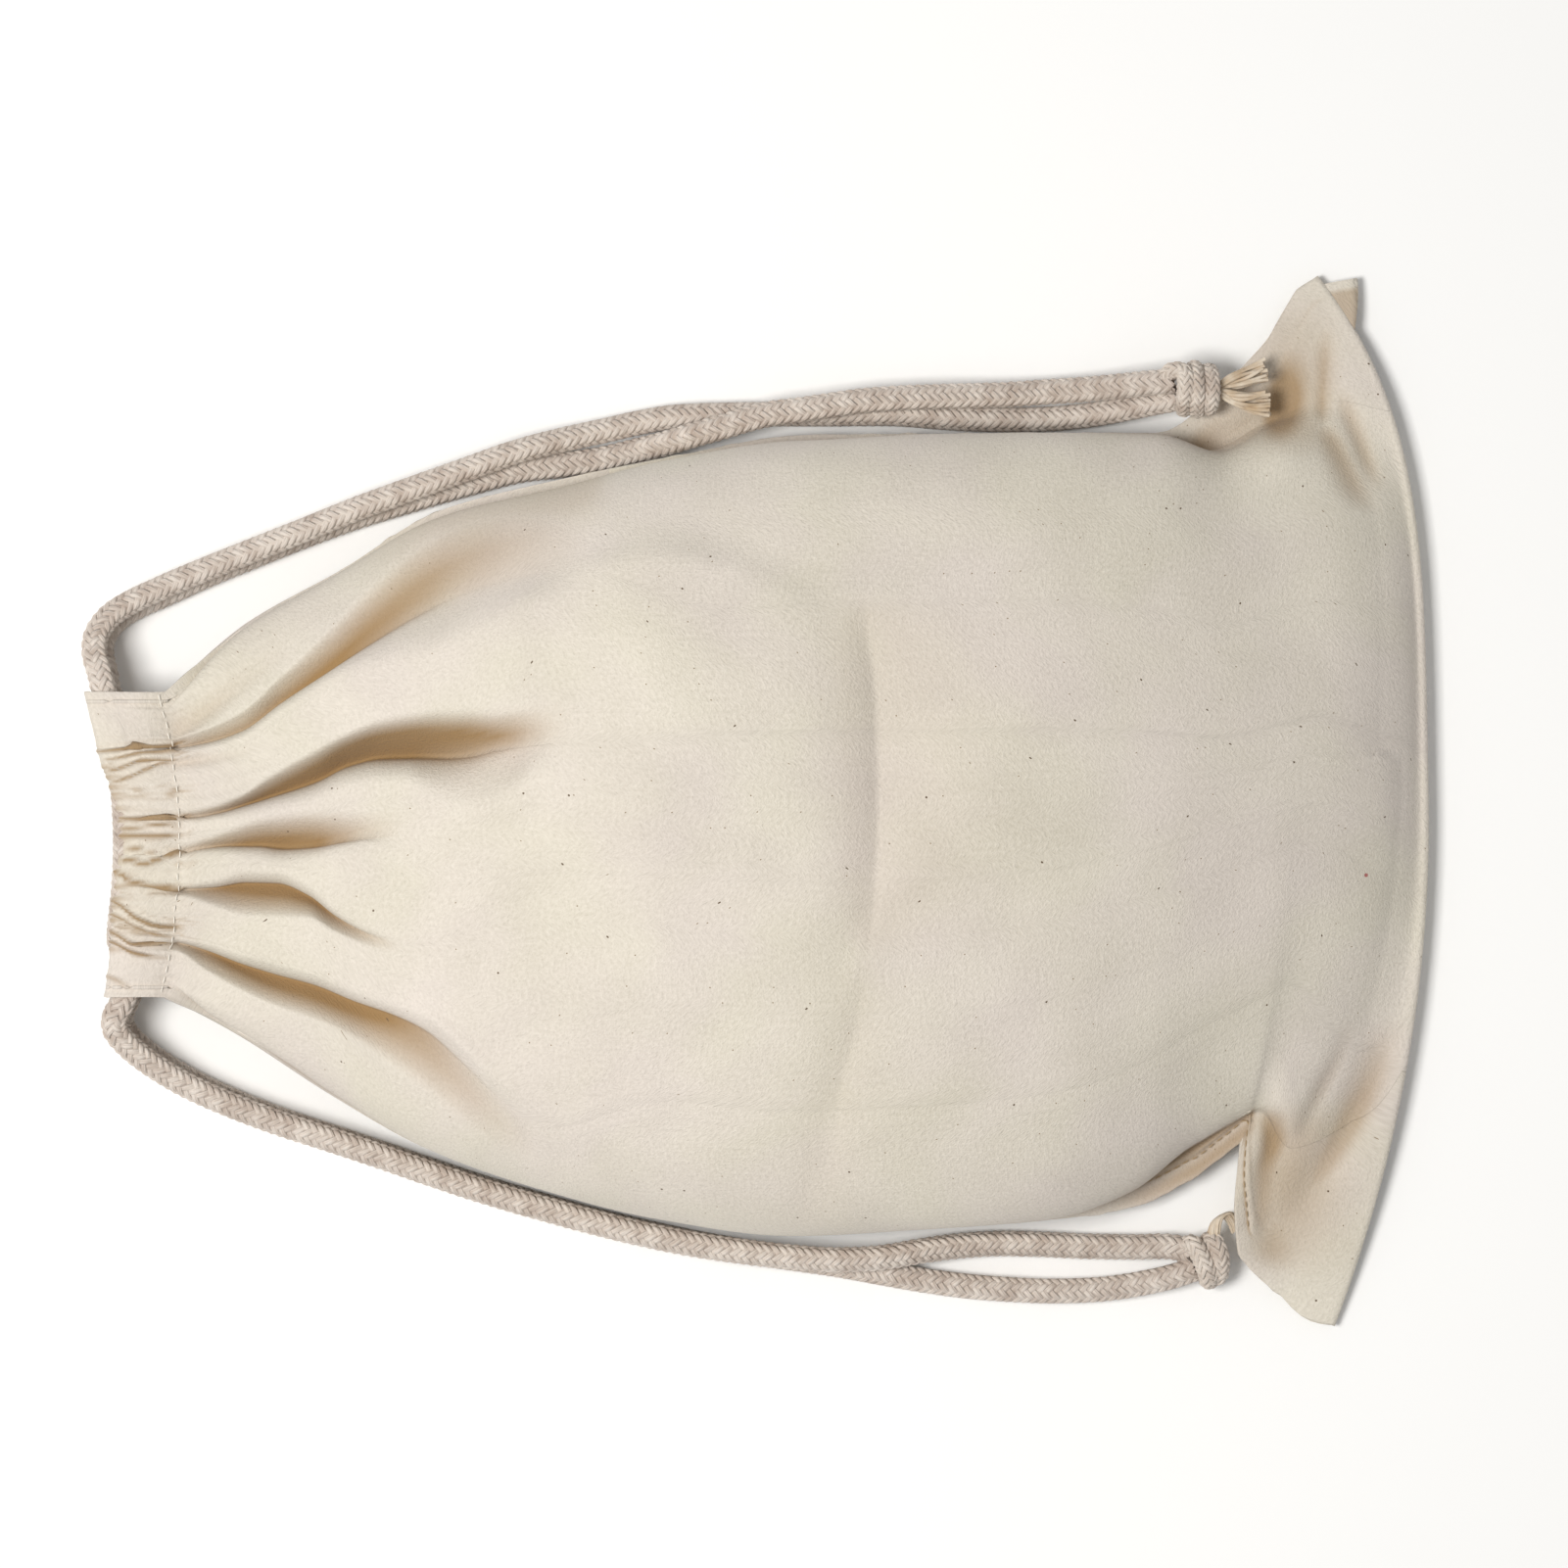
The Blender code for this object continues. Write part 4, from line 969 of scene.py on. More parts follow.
# Soft valleys: the axis they run along, their half widths on the far and the near side, and how
# much painted shade each millimetre of depth adds.
SOFT_VALLEYS = (
    ("small one above the deepest", "x", 1.4, 1.4, 0.12, (
        (-183, 11.4, 0.6), (-176, 12, 1.6), (-166, 13, 1), (-152, 15.5, 0),
    )),
    ("crest of the top lobe", "x", 5, 3, 0.12, (
        (-183, 19, 0.6), (-176, 22, 2.2), (-168, 27, 2), (-156, 36, 0.8), (-142, 46, 0),
    )),
    ("beyond the middle fold", "x", 9, 9, 0, (
        (-120, -7, 0), (-98, -7.5, 1.6), (-84, -11, 1.2), (-64, -17, 0),
    )),
    ("under the top strand", "x", 7, 10, 0.12, (
        (-124, 74, 0), (-98, 88, 2.4), (-76, 95.5, 3.6), (-56, 97, 3.4), (-44, 99, 0),
    )),
    ("hollow in the filling", "x", 11, 18, 0, (
        (-100, -8, 0), (-70, -14, 2.6), (-48, -20, 3.6), (-26, -26, 2.8), (4, -34, 0),
    )),
    ("cross crease", "y", 20, 9, 0.045, (
        (-48, 31.6, 0), (-38, 33.8, 2.4), (-20, 35.2, 4.2), (0, 35.7, 5), (20, 35.5, 5.2),
        (34, 34.8, 5.2), (44, 33.6, 4.6), (52, 32.4, 3.2), (62, 31.6, 0),
    )),
    ("where the cross crease dies away", "y", 11, 10, 0.03, (
        (-134, 14.5, 0), (-120, 16.6, 2.6), (-104, 20, 3), (-86, 24, 2.5), (-68, 29, 1.8), (-52, 31, 1),
        (-40, 32, 0),
    )),
    ("beyond the dome", "y", 100, 42, 0, (
        (-110, 28, 0), (-60, 28, 1.6), (0, 28, 3), (50, 26, 2.6), (90, 22, 0),
    )),
    ("beside the cross crease", "y", 5, 14, 0, (
        (-70, 16, 0), (-48, 24, 0.8), (-28, 32, 0.8), (-6, 38, 0),
    )),
    ("ear hollow by the tail", "y", 8, 5, 0.42, (
        (108, 159, 0), (116, 159.5, 2.4), (123, 160.4, 3.2), (131, 162, 2), (143, 164, 0),
    )),
    ("ear crease", "y", 2.6, 5, 0.3, (
        (113, 173, 0), (122, 173.2, 2), (134, 173.9, 1.9), (149, 174.8, 0),
    )),
    ("fold beside the belly", "x", 5, 2.4, 0.16, (
        (132, 111, 0), (140, 110.4, 2.6), (146, 111.6, 4.2), (151, 114.4, 4.6), (159, 117.4, 3.4),
        (170, 119, 0),
    )),
    ("low flange by the notch", "x", 3.8, 3.8, 0.75, (
        (106, -124, 0), (120, -120, 0.6), (135, -112, 0.9), (148, -102, 0.9), (155, -96.5, 0),
    )),
    ("trough to the top ear", "y", 4, 5, 0.26, (
        (88, 186, 0), (98, 181.6, 1.8), (110, 176, 2), (118, 172, 0),
    )),
    ("trough outside it", "y", 3, 3.4, 0.32, (
        (94, 190, 0), (106, 186, 1.4), (118, 181.6, 1.2), (128, 178, 0),
    )),
    ("low ear, beside the seam", "y", 6, 3.4, 0.42, (
        (-138, 155.5, 0), (-128, 154.5, 1.2), (-114, 155, 1.6), (-104, 157, 2.2), (-98, 156.4, 1.6),
        (-93, 156, 0),
    )),
    ("low ear, trough", "y", 5, 6, 0.28, (
        (-132, 162, 0), (-120, 169, 1.4), (-110, 175, 2.2), (-98, 182, 2.4), (-84, 188.5, 1.6),
        (-66, 194, 0),
    )),
    ("low ear, inner trough", "y", 2.6, 3.4, 0.15, (
        (-106, 166, 0), (-98, 168.4, 1.3), (-88, 172.8, 1.6), (-78, 178, 1), (-66, 182, 0),
    )),
    ("low ear, broad slope", "y", 16, 14, 0.42, (
        (-148, 160, 0), (-134, 162, 0.8), (-116, 163, 1.2), (-102, 166, 0.9), (-90, 172, 0),
    )),
    ("top ear, broad slope", "y", 11, 14, 0.3, (
        (104, 166, 0), (116, 164, 1.2), (128, 163, 1.2), (146, 165, 0.6), (158, 168, 0),
    )),
    ("low ear, dimple", "y", 9, 7, 0.34, (
        (-146, 160, 0), (-137, 158, 1.5), (-131, 158, 1.3), (-124, 160, 0),
    )),
)
# These have a crisp bottom line.
SHARP = ("cross crease", "where the cross crease dies away", "fold beside the belly", "ear crease")
# Soft ridges, the same way with heights: the edge of the filling, and the lobes' outer crests.
SOFT_RIDGES = (
    ("dome", "y", 40, 44, ((-70, -28, 0), (-36, -26, 1.4), (0, -24, 2.2), (34, -24, 2.2), (66, -28, 0))),
    ("edge of the filling", "x", 7, 26, (
        (-146, 36, 0), (-118, 42, 1.8), (-92, 54, 3), (-64, 62.5, 3.8), (-49, 68.5, 4.2),
        (-29, 72.2, 4.2), (-12, 69.5, 3.4), (6, 62.5, 2.2), (20, 54.5, 0),
    )),
    ("outer crest of the low lobe", "x", 4, 8, (
        (-112, -62.5, 0), (-98, -66, 1.8), (-88, -74, 2.4), (-76, -86, 2), (-58, -100, 0),
    )),
    ("bulge above the low notch", "y", 10, 8, (
        (-110, 166, 0), (-100, 166, 1.6), (-90, 163, 1.6), (-76, 160, 0),
    )),
    ("bulge beside the top ear", "y", 8, 9, (
        (96, 160, 0), (107, 161, 1.8), (114, 163, 1.6), (121, 166, 0),
    )),
)

# %% The casing's pleats and the long soft swells
# Each pleat is a crease along x: place, y, width, depth.
PLEATS = (
    ((-204, 15, 0.6, 0.3), (-200, 15.4, 0.7, 1), (-190, 16.4, 0.8, 1.7), (-180, 17.2, 0.9, 2),
     (-172, 19.4, 1.3, 0)),
    ((-201, 12.6, 0.5, 0), (-196, 13.2, 0.6, 1.1), (-188, 14.8, 0.7, 1.6), (-180, 15.2, 0.7, 1.6),
     (-174, 15.8, 0.7, 0)),
    ((-200, 9, 0.6, 0.4), (-195, 10, 0.7, 1.4), (-188, 12.6, 0.7, 1.8), (-180, 13, 0.7, 1.4),
     (-176, 13.2, 0.7, 0)),
    ((-198, 5.6, 0.7, 0.5), (-193, 7, 0.8, 1.3), (-187, 9.6, 0.7, 1.5), (-181, 11.8, 0.7, 0.9),
     (-177, 12.2, 0.7, 0)),
    ((-197, 2.5, 0.8, 0.9), (-193, 2, 0.9, 0.6), (-188, 1, 0.9, 0)),
    ((-198, -4, 0.7, 1), (-192, -5.2, 0.7, 1.2), (-184, -5.2, 0.9, 1.9), (-176, -4.6, 0.9, 2),
     (-168, -4.2, 1, 0)),
    ((-196, -8, 0.6, 0.6), (-192, -8, 0.7, 1.1), (-186, -7.4, 0.7, 1.4), (-179, -6.6, 0.7, 1.2),
     (-174, -6.2, 0.7, 0)),
    ((-198, -10.6, 0.7, 1), (-192, -10.4, 0.7, 1.4), (-184, -10.6, 0.9, 1.8), (-178, -10, 0.8, 1.2),
     (-172, -9.8, 0.8, 0)),
    ((-196, -13.4, 0.6, 1.1), (-190, -14.2, 0.7, 1.2), (-184, -15.6, 0.7, 0.7), (-180, -16.4, 0.7, 0)),
    ((-198, -16, 0.7, 0.9), (-192, -17.6, 0.8, 1.7), (-187, -18.6, 0.9, 2.1), (-180, -16.4, 0.9, 2),
     (-172, -14.4, 1, 0)),
    ((-199, -20, 0.8, 0.9), (-195, -21.6, 0.9, 1.5), (-190, -24.6, 0.9, 2), (-182, -25.8, 0.9, 2.1),
     (-172, -26.6, 1, 0)),
    ((-199, -23.8, 0.7, 1), (-195, -25.4, 0.7, 0.7), (-190, -27.4, 0.7, 0)),
    ((-200, -29, 0.8, 0.9), (-195, -31, 0.8, 1.3), (-189, -35.6, 0.9, 1.9), (-183, -37.8, 0.9, 2.1),
     (-174, -38.6, 1.2, 0)),
    ((-200, -33.5, 0.7, 1.1), (-196, -34.6, 0.7, 1.2), (-190, -38, 0.7, 1.1), (-184, -40.4, 0.8, 1.2),
     (-176, -41.8, 0.9, 0)),
    ((-201, -38.2, 0.7, 0.8), (-196, -40, 0.7, 1.4), (-190, -43.4, 0.8, 1.8), (-182, -43.4, 0.8, 1.4),
     (-176, -43.6, 0.8, 0)),
    ((-201, -41.5, 0.7, 0.7), (-196, -43, 0.7, 1.3), (-190, -46, 0.8, 1.7), (-182, -47.4, 0.8, 0.5),
     (-179, -47.6, 0.8, 0)),
    ((-202, -52, 1.2, 0), (-196, -54, 1.2, 0.7), (-190, -57.5, 1.5, 0)),
)
# Small puckers at the mouth edge: y, width and depth.
PUCKERS = (
    (10.5, 0.8, 0.9), (7.4, 0.8, 1), (4.4, 0.9, 1.1), (1.2, 0.9, 0.9), (-2, 0.8, 1), (-5.8, 0.7, 1),
    (-8.8, 0.7, 0.9), (-12, 0.7, 1.1), (-14.8, 0.7, 0.9), (-18.2, 0.8, 1), (-22, 0.8, 1.1),
    (-26, 0.8, 1), (-29.6, 0.8, 1), (-32, 0.7, 0.9), (-36, 0.8, 1.1), (-40.2, 0.8, 0.9), (-45, 1, 0.8),
)
# How wide the casing is, as y and width: the gathered middle draws in.
CASING_SPAN = (
    (-60, 18.5), (-51, 19.4), (-41, 20.8), (-30, 21.8), (-22, 21.6), (-12, 20.4), (-4, 21), (6, 22.8),
    (15, 24.8), (36, 24.8),
)
# Where the fine creases crowd together: y and half width.
CROWDED = ((14.5, 3.4), (3.0, 2.0), (-7.5, 4.0), (-17.5, 2.6), (-26.0, 2.5), (-38.5, 5.0))
# The casing's section, from the stitch line round the mouth edge to the hem: distance and height.
FRONT_CASING = (
    (0, 27.9), (-2.2, 28.5), (-5, 29.4), (-10, 30.2), (-15.5, 30.4), (-20.6, 29.8), (-23.2, 28.4),
    (-24, 25.6), (-23.8, 22.8), (-21.8, 20.5), (-18, 19.75), (-11, 19.75), (-6.5, 20.5), (-2.5, 22.6),
    (4, 23),
)
CASING_WIDTH = 24.0  # the width that table is written for
CASING_EDGE = 7  # the row of the table at the mouth edge
HEM_FROM = 8.5  # the row of the table where the hem starts, which is narrower
HEM_LOW_Y = -31.0
HEM_HIGH_Y = 13.0
STITCH_X = -181  # where along x the casing's stitch line ends
CREASES_FROM, CREASES_TO = -204, -168


def crease(x, y, path):
    """Depth of a narrow crease that runs along x."""
    place, middle, width, depth = zip(*path)
    inside = (x > place[0]) & (x < place[-1])
    off = (y - monotone(place, middle, x)) / (0.75 * monotone(place, width, x))
    profile = np.exp(-(np.abs(off) ** 1.6)) - 0.45 * bell(off - 2.2, 1.1)
    return np.where(inside, monotone(place, depth, x), 0.0) * profile


def swells(x, y, scale, seed, basis="PERLIN_ORIGINAL"):
    """A smooth random height between about -1 and 1, the same each time."""
    flat = np.column_stack([x.ravel(), y.ravel()]) / scale
    found = [noise.noise(Vector((float(a), float(b), seed)), noise_basis=basis) for a, b in flat]
    return np.asarray(found).reshape(x.shape)


def fine_creases(x, y):
    """Depth of the short fine creases that crowd together where the casing is drawn in most."""
    crowd = sum(bell(y - middle, width) for middle, width in CROWDED)
    ends = unit((x - CREASES_FROM) / 3) * unit((CREASES_TO - x) / 9)
    lines = bell(swells(x * 0.16 + y * 0.05, y, scale=1.7, seed=4.4), 0.1)
    return 0.8 * unit(crowd) * ends * lines


def pleats_at(x, y):
    """Depth of the deepest pleat at each point, or the height of a ridge beside one."""
    found = [crease(x, y, path) for path in PLEATS] + [fine_creases(x, y)]
    return np.max(found, axis=0) + np.minimum(np.min(found, axis=0), 0)


print(len(GATHERS), "gathers,", len(PLEATS), "pleats")

# %% [markdown]
# ## The front panel
#
# One grid of points makes the whole panel: the hem, the casing round the mouth edge, the body, and
# the fold at the bottom where the cloth turns under. Columns lie closer together in the middle,
# where the gathers are, and rows lie closer together near the casing and at the cross crease.


# %% The grid's columns and rows
def shares(middle, outer, curl, flange):
    """Shares from the crest to a side seam, closer together in the middle."""
    near = np.linspace(0, 0.5, middle + 1)
    far = np.linspace(0.5, ARCH_SHARE, outer + 1)[1:]
    bend = np.linspace(ARCH_SHARE, CURL_SHARE, curl + 1)[1:]
    edge = np.linspace(CURL_SHARE, 1, flange + 1)[1:]
    return np.concatenate([near, far, bend, edge])


def places(steps, crowded=()):
    """Row places, evenly between each two cross-lines, or by a table of (count share, place)."""
    found = [0.0]
    for line, count in enumerate(steps):
        even = (np.arange(count) + 1) / count
        if line in crowded:
            even = np.interp(even, *zip(*crowded[line]))
        found += (line + even).tolist()
    return found


BACK_TIP_Y = 143.0  # above this the back panel's corner shows beyond the front's
BACK_TIP_RISE = 17.5


def both_sides(line, columns, section):
    """y and z along a whole cross-line, from its -Y end to its +Y end."""
    low = section(line, columns[:0:-1], -1)
    high = section(line, columns, 1)
    return np.concatenate([low[0], high[0]]), np.concatenate([low[1], high[1]])


def lay_back(found, columns):
    """The back panel's bare form: x, y and z of every point, one row a place."""
    rows = []
    for place in found:
        line = cross_line(place)
        y, z = both_sides(line, columns, back_side)
        beyond = line["back_x"] * unit((y - BACK_TIP_Y) / BACK_TIP_RISE)
        rows.append((plan_x(line, place, y) + beyond, y, z))
    return np.asarray(rows).transpose(0, 2, 1)


def normals_of(grid):
    down = np.gradient(grid, axis=0)
    over = np.gradient(grid, axis=1)
    found = np.cross(down, over)
    return found / np.maximum(np.linalg.norm(found, axis=2, keepdims=True), 1e-9)


front_columns = shares(70, 16, 6, 12)
front_steps = (17, 18, 18, 17, 11, 9, 22, 8, 8, 7, 10, 11, 12, 11, 10)
# Many of the rows between cross-lines 6 and 7 lie where the cross crease is.
crowded_rows = {6: ((0, 0), (0.14, 0.32), (0.86, 0.68), (1, 1))}


# %% Columns that run along the folds
def regular_place(y_row, y):
    """Which column, counted in parts, a y lies at on a row."""
    return np.interp(y, y_row, np.arange(len(y_row)))


FOLDS_START = 0.6  # the place where each fold's column is chosen
LET_GO = 45.0  # how far past a fold's end its columns take to come back
ON_SHOULDER = (0.0, 0.02, 0.12, 0.35, 0.7)  # where a fold's columns lie, in shares of its shoulder
CRISP_DEPTH = 4.0


def follow_folds(found, columns):
    """Moves the columns of each row so that some run exactly along the bottom line of each fold."""
    start = cross_line(FOLDS_START)
    y_start = both_sides(start, columns, front_side)[0]
    fixed = []
    for fold in sorted(GATHERS.values(), key=lambda fold: fold[2][1]):
        along, bottom, crest, depth = zip(*fold)
        toward = 1 if crest[2] > bottom[2] else -1
        at = float(monotone(along, bottom, start["mid_x"]))
        fixed.append((along, bottom, depth, toward, round(float(regular_place(y_start, at)))))
    rows = []
    for place in found:
        line = cross_line(place)
        y = both_sides(line, columns, front_side)[0]
        knots, targets = [0.0], [0.0]
        for along, bottom, depth, toward, column in fixed:
            at = y[column]
            for _ in range(4):
                x = float(plan_x(line, place, np.asarray(at)))
                at = float(monotone(along, bottom, x))
            hold = float(unit((along[-1] + LET_GO - x) / LET_GO))
            hold = hold * hold * (3 - 2 * hold)
            deep = float(monotone(along, depth, x))
            reach = max(SHOULDER_LEAST, SHOULDER_SHARE * deep)
            ring = [(-toward * k, at - toward * reach * share) for k, share in enumerate(ON_SHOULDER)]
            crisp = float(unit(deep / CRISP_DEPTH))
            centre = float(regular_place(y, at))
            for step, goal in sorted(ring):
                tight = float(regular_place(y, goal)) - step
                knots.append(float(column + step))
                targets.append(hold * (crisp * tight + (1 - crisp) * centre - column))
        knots.append(float(len(y) - 1))
        targets.append(0.0)
        index = np.arange(len(y), dtype=float)
        rows.append(index + np.interp(index, knots, targets))
    return rows


def warp_rows(found, columns, moved):
    """The front panel's bare form with its columns moved along each row."""
    share = np.concatenate([-columns[:0:-1], columns])
    rows = []
    for place, at in zip(found, moved):
        line = cross_line(place)
        there = np.interp(at, np.arange(len(share)), share)
        low = front_side(line, unit(-there), -1)
        high = front_side(line, unit(there), 1)
        y = np.where(there < 0, low[0], high[0])
        z = np.where(there < 0, low[1], high[1])
        rows.append((plan_x(line, place, y), y, z))
    return np.asarray(rows).transpose(0, 2, 1)


EDGE_COLUMNS = 9
EARS_FROM = 11.0  # the place where the ears begin


def even_out(found, columns, moved):
    """Spreads the columns evenly over the rows that hold the ears, save those on the sewn edges."""
    spread = []
    for place, at in zip(found, moved):
        y = both_sides(cross_line(place), columns, front_side)[0]
        even = at.copy()
        inner = slice(EDGE_COLUMNS, len(y) - EDGE_COLUMNS)
        goals = np.linspace(y[EDGE_COLUMNS - 1], y[-EDGE_COLUMNS], len(y) - 2 * EDGE_COLUMNS + 2)
        even[inner] = regular_place(y, goals[1:-1])
        blend = 0.9 * unit((place - EARS_FROM) / 1.5)
        spread.append(at + blend * (even - at))
    return spread


front_places = places(front_steps, crowded_rows)
moved_columns = follow_folds(front_places, front_columns)
moved_columns = even_out(front_places, front_columns, moved_columns)
body = warp_rows(front_places, front_columns, moved_columns)


# %% Folds on the body
def soft_forms(x, y):
    """How far down the soft valleys and ridges press a point, and the painted shade in the valleys."""
    down = np.zeros_like(x)
    shade = np.zeros_like(x)
    for name, axis, far_side, near_side, dusk, rows in SOFT_VALLEYS:
        along, across = (x, y) if axis == "x" else (y, x)
        power = CRISP if name in SHARP else ROUND
        hollow = soft_valley(along, across, rows, far_side, near_side, power)
        down += hollow
        shade = np.maximum(shade, dusk * np.clip(hollow, 0, 2))
    for _, axis, far_side, near_side, rows in SOFT_RIDGES:
        along, across = (x, y) if axis == "x" else (y, x)
        down -= soft_valley(along, across, rows, far_side, near_side)
    return down, shade


def fine_rays(x, y):
    """Fine rays that fan out from the casing and die away."""
    past = x - STITCH_X
    spread = (y + 13) / (46 + 0.55 * past)
    return swells(spread * 26, x * 0.05, scale=1.0, seed=3.7) * 0.8 * np.exp(-past / 30)


def fold_body(grid):
    """Presses the gathers, creases and swells into the body. Returns the grid and the painted shade of its
    folds, pleats and soft valleys.
    """
    x, y, z = grid[..., 0], grid[..., 1], grid[..., 2]
    free = unit((z - 10) / 10)
    depth = np.zeros_like(x)
    shade = np.zeros_like(x)
    for name, rows in GATHERS.items():
        deep, in_shade = fold_shape(x, y, rows, OPENS_OUT[name])
        depth = np.maximum(depth, deep)
        # Painted shade on the fold walls that are turned away from the lamp.
        shade = np.maximum(shade, unit(deep / 9) * in_shade)
    shallow, dusk = soft_forms(x, y)
    shade = np.maximum(shade, dusk)
    pleats = pleats_at(x, y)
    # Painted shade in the pleats' creases.
    shade = np.maximum(shade, np.clip(pleats * 0.6, 0, 0.85))
    long_swell = 1.1 * swells(x * 0.7 + y * 0.35, y - 0.3 * x, scale=48.0, seed=1.3, basis="PERLIN_NEW")
    small_swell = 0.35 * swells(x, y, scale=21.0, seed=8.1, basis="PERLIN_NEW")
    ground = unit((z - 1.2) / 1.5)
    down = np.where(depth > pleats, depth, np.maximum(pleats, depth + pleats)) * free + shallow * ground
    down -= (fine_rays(x, y) + long_swell + small_swell) * free
    # The stitches pull the cloth in along the casing.
    stitch = 0.25 * bell(x - x[:1], 1.6)
    lowered = grid.copy()
    lowered[..., 2] -= down + stitch
    return lowered, unit(shade)


folded, painted_fold_shade = fold_body(body)
print("deepest fold", round(float((body[..., 2] - folded[..., 2]).max()), 1), "mm")


# %% The casing, from the stitch row round the mouth edge to the hem
def casing_grid(stitch_row, rows_between):
    """Rows of the casing after the stitch row, with pleats in its upper layer."""
    knots = np.arange(len(FRONT_CASING))
    inset, height = zip(*FRONT_CASING)
    at = np.concatenate([
        np.linspace(a, a + 1, n, endpoint=False) for a, n in zip(knots[:-1], rows_between)
    ] + [[knots[-1]]])[1:]
    width = monotone(*zip(*CASING_SPAN), stitch_row[:, 1]) / CASING_WIDTH
    rows = []
    for place in at:
        row = stitch_row.copy()
        row[:, 0] += monotone(knots, inset, place) * width
        carried = (stitch_row[:, 2] - FRONT_CASING[0][1]) * max(0.0, 1 - place / 4)
        row[:, 2] = monotone(knots, height, place) + carried
        rows.append(row)
    return np.asarray(rows), at


def pleat_casing(grid, at):
    """Puffs the upper layer between its pleats and puckers the mouth edge."""
    x, y = grid[..., 0], grid[..., 1]
    depth = pleats_at(x, y)
    gathered = unit(1 - np.abs(y + 14) / 34) ** 0.5
    upper = unit((CASING_EDGE + 1.0 - at) / 2)[:, None]
    edge = bell(at - CASING_EDGE + 0.8, 1.5)[:, None]
    for middle, width, deep in PUCKERS:
        depth = np.maximum(depth, 0.95 * deep * np.exp(-(np.abs((y - middle) / width) ** 1.7)) * edge)
    puff = 0.9 * gathered * unit(at / 2)[:, None]
    ripple = 0.35 * swells(x * 0.35, y * 2.2, scale=3.2, seed=5.5)
    ripple += 0.25 * swells(x, y, scale=9.0, seed=2.5)
    out = (puff - 1.25 * depth + ripple) * upper
    return grid + normals_of(grid) * out[..., None], depth * upper


casing_rows = (1, 3, 4, 4, 4, 3, 3, 3, 2, 1, 2, 2, 2, 1)
casing, casing_at = casing_grid(folded[0], casing_rows)
casing, casing_depth = pleat_casing(casing, casing_at)
print("casing grid", casing.shape)


# %% Sewn edges and the bottom fold
SEAM_END_Y = -137.0  # the stitches end in the corner of the -Y ear
SEAM_INSET = 7.0  # along the cloth, from the edge to the stitch line, as the edge turns down
STRIP_COLUMNS = 20  # the columns that the sewn strip takes up


def along_edge(run, edge, scale, seed):
    """A smooth random value along an edge."""
    return np.array([noise.noise(Vector((float(r) / scale, float(edge), seed))) for r in run])


def sewn_edge(grid, line_inset, from_row, fade_rows):
    """Sinks a stitch line a little in from both side edges and puckers the cloth beside it. Also returns the
    painted shade in the groove and past the ridge.
    """
    moved = grid.copy()
    shade = np.zeros(grid.shape[:2])
    rows = np.arange(grid.shape[0])
    fades_out = unit((grid.shape[0] - 1 - rows) / fade_rows)
    held = unit((rows - from_row) / 4) * fades_out
    for edge, step, weight in ((0, 1, 1.0), (grid.shape[1] - 1, -1, 0.3)):
        run = np.concatenate([[0], np.cumsum(np.linalg.norm(np.diff(grid[:, edge], axis=0), axis=1))])
        sewn_to = unit((grid[:, edge, 1] - SEAM_END_Y) / 6 + 1)
        wander = along_edge(run, edge, scale=14, seed=7.0)
        tug = along_edge(run, edge, scale=5.5, seed=2.0)
        for k in range(STRIP_COLUMNS):
            column = edge + step * k
            away = np.linalg.norm(grid[:, column] - grid[:, edge], axis=1)
            off = away - line_inset - 0.7 * wander
            groove = 0.35 * bell(off, 0.75)
            ridge = 1.3 * bell(off - 2.4, 1.3) * (1 + 0.4 * tug)
            pucker = 0.3 * (tug + 0.4) * bell(off - 1.5, 3.2)
            flat = unit((away - 1.0) / 1.5)
            sway = 0.8 * tug * held * bell(away, 6.0)
            moved[:, column, 1] -= step * sway
            moved[:, column, 2] -= weight * held * sewn_to * flat * (groove - ridge - pucker)
            # Painted shade in the stitch groove and in a band past the ridge.
            in_groove = 0.7 * bell(off, 0.8)
            past_ridge = 0.4 * bell(off - 6.0, 2.2)
            shade[:, column] = weight * held * sewn_to * np.maximum(in_groove, past_ridge)
    return moved, shade


def bottom_fold(last_row, radius, count):
    """Rows that turn the cloth under at the bottom fold."""
    rows = []
    ahead = np.gradient(last_row, axis=0)
    out = np.column_stack([ahead[:, 1], -ahead[:, 0]])
    out /= np.maximum(np.linalg.norm(out, axis=1, keepdims=True), 1e-9)
    for i in range(1, count + 1):
        angle = math.pi * i / count
        row = last_row.copy()
        row[:, :2] += out * radius * math.sin(angle) * 1.1
        row[:, 2] -= radius * (1 - math.cos(angle))
        rows.append(row)
    return np.asarray(rows)


sewn, seam_shade = sewn_edge(folded, SEAM_INSET, from_row=12, fade_rows=9)
fold = bottom_fold(sewn[-1], radius=1.3, count=4)
front_grid = np.concatenate([casing[::-1], sewn, fold])
tucked = np.abs(np.concatenate([-front_columns[:0:-1], front_columns]))
ears = np.array([[cross_line(place)[name] for name in ("low_ear", "high_ear")] for place in front_places])
# Painted shade: a band at the foot of the curl, where the filled belly overhangs a narrow flange.
narrow = unit((20 - ears) / 8)
narrow = np.where(np.arange(len(tucked)) < len(tucked) // 2, narrow[:, :1], narrow[:, 1:])
past_casing = unit((np.asarray(front_places) - 0.5)[:, None] / 1.5)
side_shade = 0.75 * narrow * bell(tucked - CURL_SHARE, 0.03) * past_casing
body_shade = np.maximum(np.maximum(painted_fold_shade, seam_shade), side_shade)
# The painted shade that each point of the front stores: in the casing's pleats, in the folds, along the
# seams and at the foot of the curl.
front_painted_shade = np.concatenate([
    np.clip(casing_depth[::-1] * 0.75, 0, 0.9), body_shade, np.zeros(fold.shape[:2]),
])


